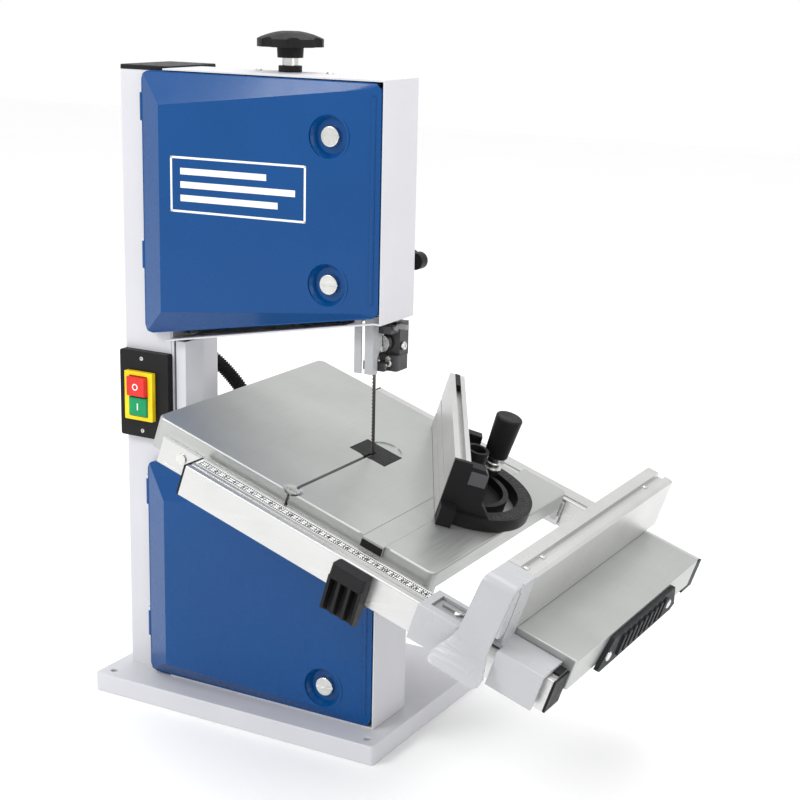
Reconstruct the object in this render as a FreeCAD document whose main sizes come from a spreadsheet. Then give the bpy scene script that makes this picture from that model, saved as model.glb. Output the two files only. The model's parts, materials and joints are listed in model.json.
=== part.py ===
import FreeCAD, Part
import Sketcher
import math
import os
import re

from FreeCAD import Placement, Rotation, Vector

# Bench band saw with a tilting table, an extension table and a mitre gauge.
# Millimetres. X runs to the right, -Y is the side of the doors, Z is up.
# The origin is the centre of the four base bolt holes, on the base's underside.

CELLS = {
    # base board and its bolt pattern
    "base_width": 329, "base_depth": 237, "base_thick": 19,
    "bolt_pitch_x": 302, "bolt_pitch_y": 210, "bolt_radius": 3.5,
    # column and the blade channel beside it
    "column_left": -151, "column_width": 57.5, "column_front": -76.8, "column_depth": 78.3,
    "column_top": 627, "sheet_thick": 1.5, "cap_thick": 4.4,
    "channel_width": 16.2, "channel_depth": 29.3, "slit_width": 2.8,
    # wheel housings
    "housing_left": -93.2, "housing_right": 146.3, "housing_front": -86.1, "housing_back": -24.9,
    "upper_top": 629.8, "upper_bottom": 369.2, "upper_rise": 43.6,
    "lower_top": 251.5, "lower_drop": 2.7,
    # doors
    "door_left": -117.4, "door_right": 143.8,
    # wheels and blade
    "wheel_x": 16.7, "wheel_y": -55.5, "lower_wheel_z": 132, "upper_wheel_z": 514,
    "wheel_radius": 103.2, "wheel_width": 16, "tyre_thick": 2.75, "axle_radius": 6,
    "band_thick": 0.5, "band_width": 6,
    # blade tensioner
    "tension_y": -36.5, "knob_radius": 31,
    # motor
    "motor_radius": 54, "motor_length": 96,
    # upper guide
    "guard_bottom": 362, "guard_length": 125, "post_x": 131.5, "post_y": -34.5, "post_radius": 6,
    # table and its tilt
    "table_width": 300, "table_depth": 276, "table_plate": 7, "skirt": 30,
    "tilt": 18.6, "pivot_z": 283, "pivot_u": 149, "blade_v": 142.7,
    "slot_u": 239.5, "slot_width": 22.4, "slot_depth": 9.6,
    # rails, extension table and rip fence
    "rail_left": 62, "rail_length": 375, "rail_width": 27.5, "rail_height": 29.5, "rail_top": -10.8,
    "ext_left": 362, "ext_width": 80, "ext_depth": 280, "ext_thick": 28,
    "fence_left": 357.5, "fence_width": 27.5, "fence_height": 50, "fence_length": 312.5, "fence_front": -7,
    # mitre gauge
    "bar_length": 262, "head_radius": 66.5, "head_v": 157, "swivel": 59.5, "head_plate": 12,
    "mitre_height": 59.4, "mitre_near": 57.8, "mitre_length": 196, "mitre_left": -25.5,
    "mitre_thick": 15,
    # switch
    "switch_width": 58.6, "switch_height": 87.5, "switch_depth": 8,
}

doc = FreeCAD.newDocument("BandSaw")
sheet = doc.addObject("Spreadsheet::Sheet", "dims")
for row, (alias, value) in enumerate(CELLS.items(), start=1):
    sheet.set("A%d" % row, alias)
    sheet.set("B%d" % row, str(value))
    sheet.setAlias("B%d" % row, alias)
doc.recompute()

NODES = []
ALIAS = re.compile(r"\b(%s)\b" % "|".join(sorted(CELLS, key=len, reverse=True)))


# ---------------------------------------------------------------- helpers

def formula(text):
    """An expression that reads the dims sheet."""
    return ALIAS.sub(r"dims.\1", text)


def value(item):
    """The number a cell, an expression or a plain number stands for."""
    if isinstance(item, (int, float)):
        return float(item)
    result = sheet.evalExpression(ALIAS.sub(r"\1", item))
    return float(getattr(result, "Value", result))


def bind(thing, prop, item):
    if isinstance(item, (int, float)):
        if not prop.startswith("Placement"):
            setattr(thing, prop, item)
    else:
        thing.setExpression(prop, formula(item))


def place(thing, at, rotation=None):
    """Put a primitive at a point whose coordinates may be expressions."""
    thing.Placement = Placement(Vector(*[value(item) for item in at]), rotation or Rotation())
    for axis, item in zip("xyz", at):
        bind(thing, "Placement.Base." + axis, item)
    return thing


AXES = {"X": Vector(1, 0, 0), "Y": Vector(0, 1, 0), "Z": Vector(0, 0, 1)}


def turn_to(axis):
    target = AXES[axis] if isinstance(axis, str) else Vector(*axis)
    return Rotation(AXES["Z"], target)


def box(size, at):
    thing = doc.addObject("Part::Box", "Box")
    for prop, item in zip(("Length", "Width", "Height"), size):
        bind(thing, prop, item)
    return place(thing, at)


def rod(radius, length, at, axis="Z"):
    """A cylinder that starts at a point and runs along an axis."""
    thing = doc.addObject("Part::Cylinder", "Cylinder")
    bind(thing, "Radius", radius)
    bind(thing, "Height", length)
    return place(thing, at, turn_to(axis))


def cone(radius_1, radius_2, length, at, axis="Z"):
    thing = doc.addObject("Part::Cone", "Cone")
    bind(thing, "Radius1", radius_1)
    bind(thing, "Radius2", radius_2)
    bind(thing, "Height", length)
    return place(thing, at, turn_to(axis))


def fuse(*parts, refine=True):
    thing = doc.addObject("Part::MultiFuse", "Fuse")
    thing.Shapes = list(parts)
    thing.Refine = refine
    return thing


def cut(base, *tools):
    thing = doc.addObject("Part::Cut", "Cut")
    thing.Base = base
    thing.Tool = tools[0] if len(tools) == 1 else fuse(*tools, refine=False)
    thing.Refine = True
    return thing


def common(base, tool):
    thing = doc.addObject("Part::Common", "Common")
    thing.Base = base
    thing.Tool = tool
    return thing


def group(*parts):
    thing = doc.addObject("Part::Compound", "Group")
    thing.Links = list(parts)
    return thing


def rounded(base, radius, wanted):
    """Fillet the edges that the wanted test picks."""
    doc.recompute()
    thing = doc.addObject("Part::Fillet", "Fillet")
    thing.Base = base
    picked = [i for i, edge in enumerate(base.Shape.Edges, start=1) if wanted(edge)]
    thing.Edges = [(i, radius, radius) for i in picked]
    return thing


def along(axis):
    """A test for straight edges that run along an axis."""
    def test(edge):
        if edge.Curve.TypeId != "Part::GeomLine":
            return False
        return abs(edge.tangentAt(edge.FirstParameter).dot(AXES[axis])) > 0.999
    return test


def at_level(axis, level, tolerance=0.01):
    """A test for edges that lie in a plane square to an axis."""
    index = "XYZ".index(axis)

    def test(edge):
        bounds = edge.BoundBox
        low = (bounds.XMin, bounds.YMin, bounds.ZMin)[index]
        high = (bounds.XMax, bounds.YMax, bounds.ZMax)[index]
        return abs(low - value(level)) < tolerance and abs(high - value(level)) < tolerance
    return test


def origin_plane(body, role):
    return next(item for item in body.Origin.OriginFeatures if item.Role == role)


def fix_point(sketch, geometry, position, item, axis):
    """Hold one coordinate of a sketch point to an expression."""
    if abs(value(item)) < 1e-9:
        line = -2 if axis == "X" else -1
        sketch.addConstraint(Sketcher.Constraint("PointOnObject", geometry, position, line))
        return
    kind = "DistanceX" if axis == "X" else "DistanceY"
    index = sketch.addConstraint(
        Sketcher.Constraint(kind, -1, 1, geometry, position, value(item)))
    if not isinstance(item, (int, float)):
        sketch.setExpression("Constraints[%d]" % index, formula(item))


def draw_outline(sketch, points):
    """A closed outline of straight lines, every corner held to the sheet."""
    first = sketch.GeometryCount
    count = len(points)
    corners = [Vector(value(x), value(y), 0) for x, y in points]
    for i, corner in enumerate(corners):
        sketch.addGeometry(Part.LineSegment(corner, corners[(i + 1) % count]), False)
    for i in range(count):
        after = first + (i + 1) % count
        sketch.addConstraint(Sketcher.Constraint("Coincident", first + i, 2, after, 1))
    for i, (x, y) in enumerate(points):
        fix_point(sketch, first + i, 1, x, "X")
        fix_point(sketch, first + i, 1, y, "Y")


def draw_circle(sketch, x, y, radius):
    circle = Part.Circle(Vector(value(x), value(y), 0), AXES["Z"], value(radius))
    index = sketch.addGeometry(circle, False)
    fix_point(sketch, index, 3, x, "X")
    fix_point(sketch, index, 3, y, "Y")
    held = sketch.addConstraint(Sketcher.Constraint("Radius", index, value(radius)))
    if not isinstance(radius, (int, float)):
        sketch.setExpression("Constraints[%d]" % held, formula(radius))


def new_sketch(body, role, outlines=(), circles=()):
    sketch = body.newObject("Sketcher::SketchObject", body.Name + "Sketch")
    sketch.AttachmentSupport = [(origin_plane(body, role), "")]
    sketch.MapMode = "FlatFace"
    for points in outlines:
        draw_outline(sketch, points)
    for circle in circles:
        draw_circle(sketch, *circle)
    return sketch


def body_pad(role, depth, outlines=(), circles=(), at=(0, 0, 0)):
    """A body with one padded sketch. XY pads up, XZ pads towards -Y, YZ pads towards +X."""
    body = doc.addObject("PartDesign::Body", "Body")
    pad = body.newObject("PartDesign::Pad", "Pad")
    pad.Profile = new_sketch(body, role, outlines, circles)
    bind(pad, "Length", depth)
    body.Tip = pad
    place(body, at)
    return body


def body_pocket(body, role, depth, outlines=(), circles=(), reverse=False):
    """Pocket the body from one of its origin planes, and make sure that it cuts."""
    doc.recompute()
    before = body.Shape.Volume
    pocket = body.newObject("PartDesign::Pocket", "Pocket")
    pocket.Profile = new_sketch(body, role, outlines, circles)
    bind(pocket, "Length", depth)
    pocket.Reversed = reverse
    body.Tip = pocket
    doc.recompute()
    if not body.Shape.Volume < before - 1e-6:
        raise RuntimeError("a pocket cut nothing in " + body.Label)
    return body


def body_fillet(body, radius, wanted, chamfer=False):
    """Round or chamfer the edges of the body's tip that the wanted test picks."""
    doc.recompute()
    tip = body.Tip
    names = ["Edge%d" % i for i, edge in enumerate(tip.Shape.Edges, start=1) if wanted(edge)]
    kind = "Chamfer" if chamfer else "Fillet"
    feature = body.newObject("PartDesign::" + kind, kind)
    feature.Base = (tip, names)
    bind(feature, "Size" if chamfer else "Radius", radius)
    body.Tip = feature
    return body


def rectangle(x, y, width, depth):
    """Corners of a rectangle from its lowest corner, as expressions."""
    right = "(%s) + (%s)" % (x, width)
    top = "(%s) + (%s)" % (y, depth)
    return [(x, y), (right, y), (right, top), (x, top)]


def solid(shape, label="Solid"):
    thing = doc.addObject("Part::Feature", label)
    thing.Shape = shape
    return thing


def node(label, thing, frame=None):
    """Name a finished sub-part; a frame moves it from the table's own axes."""
    if frame is not None:
        thing = group(thing)
        thing.Placement = frame
    thing.Label = label
    NODES.append(thing)
    return thing


V = {alias: float(number) for alias, number in CELLS.items()}


def table_frame():
    """Axes of the tilted table: u along its width, v to the back, h up from its surface."""
    angle = math.radians(V["tilt"])
    corner = Vector(
        V["wheel_x"] + V["wheel_radius"] + V["tyre_thick"] + 0.3 - V["pivot_u"] * math.cos(angle),
        V["wheel_y"] - V["blade_v"],
        V["pivot_z"] + V["pivot_u"] * math.sin(angle))
    return Placement(corner, Rotation(AXES["Y"], V["tilt"]))


TABLE = table_frame()


def head_frame():
    """Axes of the mitre head: x along its fence, y to the back of it, swivelled about the bar."""
    pivot = Placement(Vector(V["slot_u"], V["head_v"], 0), Rotation(AXES["Z"], -V["swivel"]))
    return TABLE.multiply(pivot)


HEAD = head_frame()
BLADE_X = V["wheel_x"] + V["wheel_radius"] + V["tyre_thick"] + 0.3
LEFT_STRAND_X = 2 * V["wheel_x"] - BLADE_X


# ---------------------------------------------------------------- base and column

def make_base_plate():
    outline = rectangle("-base_width / 2", "-base_depth / 2", "base_width", "base_depth")
    holes = [("%s * bolt_pitch_x / 2" % i, "%s * bolt_pitch_y / 2" % j, "bolt_radius")
             for i in (-1, 1) for j in (-1, 1)]
    body = body_pad("XY_Plane", "base_thick", [outline], holes)
    body_fillet(body, 3, along("Z"))
    body_fillet(body, 1.2, at_level("Z", "base_thick"))
    node("base_plate", body)


def make_column():
    outer = rectangle("column_left", "column_front", "column_width", "column_depth")
    inner = rectangle("column_left + sheet_thick", "column_front + sheet_thick",
                      "column_width - 2 * sheet_thick", "column_depth - 2 * sheet_thick")
    body = body_pad("XY_Plane", "column_top - base_thick", [outer, inner],
                    at=(0, 0, "base_thick"))
    body_fillet(body, 2.5, lambda edge: along("Z")(edge) and edge.Length > 500
                and (edge.BoundBox.XMin < V["column_left"] + 0.1
                     or edge.BoundBox.XMax > V["column_left"] + V["column_width"] - 0.1)
                and (edge.BoundBox.YMin < V["column_front"] + 0.1
                     or edge.BoundBox.YMax > V["column_front"] + V["column_depth"] - 0.1))
    window = box((42, 10, 70), ("column_left + 8", "column_front - 5", 276))
    node("column", cut(body, window))


def make_column_cap():
    lip = box(("column_width + 0.2", "column_depth + 0.6", "cap_thick"),
              ("column_left - 0.3", "column_front - 0.3", "column_top + 0.05"))
    plug = box(("column_width - 2 * sheet_thick - 1", "column_depth - 2 * sheet_thick - 1", 8),
               ("column_left + sheet_thick + 0.5", "column_front + sheet_thick + 0.5",
                "column_top - 7"))
    soft = rounded(lip, 3, along("Z"))
    crown = rounded(soft, 1.2, at_level("Z", "column_top + cap_thick + 0.05"))
    node("column_cap", fuse(crown, plug))


def make_blade_channel():
    """The channel beside the column that the returning blade runs in, with a slit in front."""
    left = "housing_left"
    high = housing_floor(V["housing_left"]) - V["lower_top"] - 1.0
    outer = box(("channel_width", "channel_depth", high), (left, "column_front", "lower_top + 0.3"))
    inner = box(("channel_width - 2 * sheet_thick", "channel_depth - 2 * sheet_thick", high + 2),
                ("housing_left + sheet_thick", "column_front + sheet_thick", "lower_top - 0.7"))
    slit = box(("slit_width", 5, high + 2),
               (LEFT_STRAND_X - V["slit_width"] / 2, "column_front - 1", "lower_top - 0.7"))
    node("blade_channel", cut(outer, inner, slit))


def housing_floor(x):
    """Height of the upper housing's slanted underside."""
    run = V["housing_right"] - 8 - V["housing_left"]
    share = min(1.0, (x - V["housing_left"]) / run)
    return V["upper_bottom"] + V["upper_rise"] * share


# ---------------------------------------------------------------- housings

def make_upper_housing():
    left, right, wall = "housing_left", "housing_right", "sheet_thick"
    outer = [(left, "upper_bottom"), (right + " - 8", "upper_bottom + upper_rise"),
             (right, "upper_bottom + upper_rise"), (right, "upper_top"), (left, "upper_top")]
    inner = [(left + " + " + wall, "upper_bottom + 1.8"),
             (right + " - 8.3", "upper_bottom + upper_rise + 1.5"),
             (right + " - " + wall, "upper_bottom + upper_rise + 1.5"),
             (right + " - " + wall, "upper_top - " + wall),
             (left + " + " + wall, "upper_top - " + wall)]
    body = body_pad("XZ_Plane", "housing_back - housing_front", [outer],
                    at=(0, "housing_back", 0))
    doc.recompute()
    body_pocket(body, "XZ_Plane", "housing_back - housing_front + 5", [inner], reverse=True)
    back = box(("housing_right - housing_left - 2", wall, "upper_top - upper_bottom - 50"),
               (left + " + 1", "housing_back - " + wall, "upper_bottom + 48"))
    back_low = solid(prism([(V["housing_left"] + 1, V["upper_bottom"] + 1),
                            (V["housing_right"] - 8, V["upper_bottom"] + V["upper_rise"] + 1),
                            (V["housing_right"] - 1, V["upper_bottom"] + V["upper_rise"] + 1),
                            (V["housing_right"] - 1, V["upper_bottom"] + 60),
                            (V["housing_left"] + 1, V["upper_bottom"] + 60)],
                           V["housing_back"] - V["sheet_thick"], V["housing_back"]))
    shell = fuse(body, back, back_low)
    guard_gap = box((36, 54, 20), (BLADE_X - 15, -81, 395))
    strand_gap = box((12, 12, 20), (LEFT_STRAND_X - 2.6, "wheel_y - 6", 362))
    screw_hole = rod(4.6, 10, ("wheel_x", "tension_y", "upper_top - 5"))
    axle_slot = box((22, 10, 62), ("wheel_x - 11", "housing_back - 5", "upper_wheel_z - 31"))
    clamp_hole = rod(4.5, 10, ("post_x", "housing_back - 5", 462), "Y")
    door_notch = box((4, 12, 257.5), ("housing_left - 1", "housing_front - 3.2", 370.8))
    node("upper_housing",
         cut(shell, guard_gap, strand_gap, screw_hole, axle_slot, clamp_hole, door_notch))


def prism(points, y_front, y_back):
    """A straight prism along Y from an outline in X and Z."""
    corners = [Vector(x, y_front, z) for x, z in points]
    face = Part.Face(Part.makePolygon(corners + corners[:1]))
    return face.extrude(Vector(0, y_back - y_front, 0))


def make_lower_housing():
    left, right, wall = "housing_left", "housing_right", "sheet_thick"
    knee = "housing_left + 125"
    outer = [(left, "base_thick + 0.2"), (right, "base_thick + 0.2"),
             (right, "lower_top - lower_drop"), (knee, "lower_top"), (left, "lower_top")]
    inner = [(left + " + " + wall, "base_thick + 1.7"), (right + " - " + wall, "base_thick + 1.7"),
             (right + " - " + wall, "lower_top - lower_drop - 1.8"),
             (knee + " - 0.2", "lower_top - " + wall), (left + " + " + wall, "lower_top - " + wall)]
    body = body_pad("XZ_Plane", "housing_back - housing_front", [outer],
                    at=(0, "housing_back", 0))
    body_pocket(body, "XZ_Plane", "housing_back - housing_front + 5", [inner], reverse=True)
    back = solid(prism([(V["housing_left"] + 1, V["base_thick"] + 1),
                        (V["housing_right"] - 1, V["base_thick"] + 1),
                        (V["housing_right"] - 1, V["lower_top"] - V["lower_drop"] - 1),
                        (V["housing_left"] + 125, V["lower_top"] - 1),
                        (V["housing_left"] + 1, V["lower_top"] - 1)],
                       V["housing_back"] - V["sheet_thick"], V["housing_back"]))
    shell = fuse(body, back)
    strand_gap = box((12, 12, 20), (LEFT_STRAND_X - 2.6, "wheel_y - 6", "lower_top - 10"))
    blade_gap = box((16, 22, 40), (BLADE_X - 8, "wheel_y - 9", "lower_top - lower_drop - 15"))
    shaft_hole = rod(16, 10, ("wheel_x", "housing_back - 5", "lower_wheel_z"), "Y")
    door_notch = box((4, 12, "lower_top - base_thick - 3.2"),
                     ("housing_left - 1", "housing_front - 3.2", "base_thick + 1.7"))
    node("lower_housing", cut(shell, strand_gap, blade_gap, shaft_hole, door_notch))


# ---------------------------------------------------------------- doors

LATCH_X = 92.0
LATCH_RECESS = 19.5


def door_solid(rim, panel, inset, y_back, y_rim, lift):
    """Rim prism with a raised panel on it. The panel's corners carry their own depth."""
    flat = [(x + sx * inset, z + sz * inset) for (x, z), (sx, sz) in zip(rim, DOOR_SIGNS)]
    tray = prism(flat, y_rim, y_back)
    start = [Vector(x + sx * 1.0, y_rim + lift, z + sz * 1.0)
             for (x, z), (sx, sz) in zip(flat, DOOR_SIGNS)]
    end = [Vector(x, y + lift, z) for x, y, z in panel]
    loft = Part.makeLoft([Part.makePolygon(start + start[:1]), Part.makePolygon(end + end[:1])],
                         True, True)
    return tray.fuse(loft)


DOOR_SIGNS = [(1, -1), (-1, -1), (-1, 1), (1, 1)]


def make_door(label, top, bottom_left, bottom_right, panel, latches):
    """A pressed steel door: flanged tray, wedge-shaped panel and dished latch seats."""
    rim = [(V["door_left"], top), (V["door_right"], top),
           (V["door_right"], bottom_right), (V["door_left"], bottom_left)]
    y_rim = V["housing_front"] - 1.0
    y_back = V["housing_front"] + 8.0
    outer = door_solid(rim, panel, 0.0, y_back, y_rim, 0.0)
    blank = prism(rim, y_rim - 40, y_back + 1)
    soft = blank.makeFillet(9, [edge for edge in blank.Edges if along("Y")(edge)])
    outer = outer.common(soft)
    shell = outer.cut(door_solid(rim, panel, 1.5, y_back + 1, y_rim, 1.5).common(
        prism(rim, y_rim - 40, y_back + 3)))
    bead = Part.makeCylinder(2.2, top - bottom_right - 24,
                             Vector(V["door_right"] - 7, y_rim, bottom_right + 12))
    bead = bead.common(Part.makeBox(10, 5, 400, Vector(V["door_right"] - 12, y_rim - 4.5,
                                                     bottom_right)))
    shell = shell.fuse(bead)
    for z in latches:
        y_face = panel_depth(panel, LATCH_X)
        cup = Part.makeCylinder(LATCH_RECESS + 2, 9, Vector(LATCH_X, y_face + 0.8, z), AXES["Y"])
        dish = Part.makeCone(LATCH_RECESS, LATCH_RECESS - 4, 6.5,
                             Vector(LATCH_X, y_face + 0.3, z), AXES["Y"])
        mouth = Part.makeCylinder(LATCH_RECESS, 10, Vector(LATCH_X, y_face - 9.6, z), AXES["Y"])
        bore = Part.makeCylinder(4.6, 40, Vector(LATCH_X, y_face - 5, z), AXES["Y"])
        shell = shell.fuse(cup).cut(dish.fuse(mouth)).cut(bore)
    for low in hinge_heights(bottom_left, top):
        knuckle = Part.makeCylinder(3.0, 26, Vector(HINGE_X, HINGE_Y, low))
        leaf = Part.makeBox(V["door_left"] + 1 - HINGE_X, 1.5, 26,
                            Vector(HINGE_X, HINGE_Y - 0.75, low))
        pin_bore = Part.makeCylinder(1.56, 30, Vector(HINGE_X, HINGE_Y, low - 2))
        shell = shell.fuse(knuckle.fuse(leaf)).cut(pin_bore)
    node(label, solid(shell.removeSplitter()))


HINGE_X = -120.6
HINGE_Y = -81.0


def hinge_heights(bottom, top):
    """Lower ends of the two knuckles on a door's left edge."""
    return (bottom + 36 if top < 300 else bottom + 64, top - 47)


def panel_depth(panel, x):
    """Depth of the sloping panel at a place across the door."""
    (x_left, y_left, _), (x_right, y_right, _) = panel[0], panel[1]
    return y_left + (y_right - y_left) * (x - x_left) / (x_right - x_left)


UPPER_DOOR = {
    "top": 627.4, "bottom_left": 374.6, "bottom_right": 419.6,
    "panel": [(-86.5, -102.7, 597.5), (131.5, -88.4, 621.5),
              (131.5, -88.4, 423.0), (-86.5, -102.7, 401.5)],
    "latches": (578.5, 445.0),
}
LOWER_DOOR = {
    "top": 245.5, "bottom_left": 21.4, "bottom_right": 21.4,
    "panel": [(-86.5, -102.7, 212.0), (131.5, -88.4, 239.5),
              (131.5, -88.4, 27.0), (-86.5, -102.7, 40.0)],
    "latches": (51.5,),
}


def make_doors():
    for label, door in (("upper_door", UPPER_DOOR), ("lower_door", LOWER_DOOR)):
        make_door(label, door["top"], door["bottom_left"], door["bottom_right"],
                  door["panel"], door["latches"])
        number = 0
        for z in door["latches"]:
            number += 1
            make_latch("%s_latch_%d" % (label, number), panel_depth(door["panel"], LATCH_X), z)


def make_latch(label, y_face, z):
    """A slotted quarter-turn latch: head in the dish, shaft and a tongue behind."""
    head = rod(9.4, 4, (LATCH_X, y_face + 2.4, z), "Y")
    slot = box((20, 1.6, 2.2), (LATCH_X - 10, y_face + 1.9, z - 1.1))
    shaft = rod(4.5, 18, (LATCH_X, y_face + 6.3, z), "Y")
    tongue = box((9, 3, 24), (LATCH_X - 4.5, y_face + 20, z - 6))
    node(label, fuse(cut(rounded(head, 1.0, at_level("Y", y_face + 2.4)), slot), shaft, tongue))


def make_hinge_pins():
    """Pins and lugs on the column that the doors swing on."""
    pieces = []
    for door in (UPPER_DOOR, LOWER_DOOR):
        for low in hinge_heights(door["bottom_left"], door["top"]):
            pin = rod(1.5, 34, (HINGE_X, HINGE_Y, low - 4))
            for shift in (-4, 26.5):
                pin = fuse(pin, rod(2.9, 3.5, (HINGE_X, HINGE_Y, low + shift)),
                           box((4.9, 4.0, 3.5), (HINGE_X - 2.9, HINGE_Y, low + shift)))
            pieces.append(pin)
    node("hinge_pins", group(*pieces))


# ---------------------------------------------------------------- wheels, axles and blade

def make_wheel(label, z):
    """A cast wheel: rim, drilled web and hub."""
    front = V["wheel_y"] - V["wheel_width"] / 2
    rim = cut(rod("wheel_radius", "wheel_width", ("wheel_x", front, z), "Y"),
              rod("wheel_radius - 5", 20, ("wheel_x", front - 1, z), "Y"))
    web = rod("wheel_radius - 4", 5, ("wheel_x", front + 5, z), "Y")
    hub = rod(17, "wheel_width", ("wheel_x", front + 1, z), "Y")
    holes = [rod(17, 20, (V["wheel_x"] + 60 * math.cos(turn), front - 1,
                          value(z) + 60 * math.sin(turn)), "Y")
             for turn in [2 * math.pi * step / 5 for step in range(5)]]
    bore = rod("axle_radius + 0.05", 60, ("wheel_x", front - 5, z), "Y")
    node(label, cut(fuse(rim, web, hub), bore, *holes))


def make_tyre(label, z):
    front = V["wheel_y"] - V["wheel_width"] / 2
    node(label, cut(rod("wheel_radius + tyre_thick", "wheel_width", ("wheel_x", front, z), "Y"),
                    rod("wheel_radius", 30, ("wheel_x", front - 5, z), "Y")))


def make_blade():
    """The endless band: two straight strands and two half turns, 6 mm wide."""
    inner = V["wheel_radius"] + V["tyre_thick"] + 0.05
    outer = inner + V["band_thick"]
    front = V["wheel_y"] - V["band_width"] / 2
    low, high = V["lower_wheel_z"], V["upper_wheel_z"]

    def loop(radius):
        disc = Part.makeCylinder(radius, V["band_width"], Vector(V["wheel_x"], front, low),
                                 AXES["Y"])
        top = Part.makeCylinder(radius, V["band_width"], Vector(V["wheel_x"], front, high),
                                AXES["Y"])
        middle = Part.makeBox(2 * radius, V["band_width"], high - low,
                              Vector(V["wheel_x"] - radius, front, low))
        return disc.fuse([top, middle]).removeSplitter()

    node("blade", solid(loop(outer).cut(loop(inner)).removeSplitter()))


def make_drive():
    """Direct-drive motor behind the lower housing, with its shaft in the lower wheel."""
    back = "housing_back"
    flange = rod("motor_radius - 6", 6, ("wheel_x", back + " + 0.2", "lower_wheel_z"), "Y")
    case = rod("motor_radius", "motor_length - 22", ("wheel_x", back + " + 6.2", "lower_wheel_z"),
               "Y")
    fins = [box((3, "motor_length - 34", 4),
                (V["wheel_x"] - 1.5 + 22 * side, back + " + 12", "lower_wheel_z + motor_radius - 6"))
            for side in (-1, 0, 1)]
    gland = rod(10.5, 14, ("wheel_x - 36", back + " + 52", "lower_wheel_z + 36"), (-1, 0, 1))
    bore = rod(7, 40, ("wheel_x", back + " - 1", "lower_wheel_z"), "Y")
    node("motor", cut(fuse(rounded(case, 3, at_level("Y", V["housing_back"] + V["motor_length"]
                                                     - 15.8)), flange, gland, *fins), bore))
    cover = rod("motor_radius + 2", 22, ("wheel_x", back + " + motor_length - 15", "lower_wheel_z"),
                "Y")
    slots = [box((3, 6, 60), (V["wheel_x"] - 1.5 + 12 * step, back + " + motor_length + 3",
                              "lower_wheel_z - 30")) for step in range(-2, 3)]
    node("motor_fan_cover", cut(rounded(cover, 4, at_level(
        "Y", V["housing_back"] + V["motor_length"] + 7)), *slots))
    shaft = rod("axle_radius", 57, ("wheel_x", "wheel_y - 12", "lower_wheel_z"), "Y")
    washer = rod(11, 2, ("wheel_x", "wheel_y - 9.3", "lower_wheel_z"), "Y")
    nut = rod(8, 3.5, ("wheel_x", "wheel_y - 12.8", "lower_wheel_z"), "Y")
    node("motor_shaft", fuse(shaft, washer, nut))


def make_motor_lead():
    """Corrugated sleeve from the back of the column to the motor's gland."""
    motor_end = Vector(V["wheel_x"] - 48.5, V["housing_back"] + 52, V["lower_wheel_z"] + 48.5)
    route = [Vector(-122, 5.5, 340), Vector(-117, 16, 336), Vector(-98, 20, 321),
             Vector(-77, 23, 299), Vector(-61, 26, 262), Vector(-51, 27, 222), motor_end]
    radius = 7.5
    path = bend(route)
    section = Part.Wire(Part.makeCircle(radius, route[0], route[1] - route[0]))
    tube = path.makePipeShell([section], True, False)
    wanted = math.pi * radius ** 2 * path.Length
    if abs(tube.Volume / wanted - 1) > 0.01:
        raise RuntimeError("the sleeve's volume is off")
    node("motor_lead", solid(tube))


def bend(route):
    """Straight runs joined by tangent arcs, each as large as its two runs allow."""
    edges = []
    start = route[0]
    for before, corner, after in zip(route, route[1:], route[2:]):
        inward = (corner - before).normalize()
        outward = (after - corner).normalize()
        half = 0.5 * inward.getAngle(outward)
        run = min((corner - before).Length, (after - corner).Length)
        radius = 0.45 * run / math.tan(half)
        reach = 0.45 * run
        first, last = corner - inward * reach, corner + outward * reach
        toward = (outward - inward).normalize()
        middle = corner + toward * (radius / math.cos(half) - radius)
        edges.append(Part.LineSegment(start, first).toShape())
        edges.append(Part.Arc(first, middle, last).toShape())
        start = last
    edges.append(Part.LineSegment(start, route[-1]).toShape())
    return Part.Wire(edges)


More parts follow.
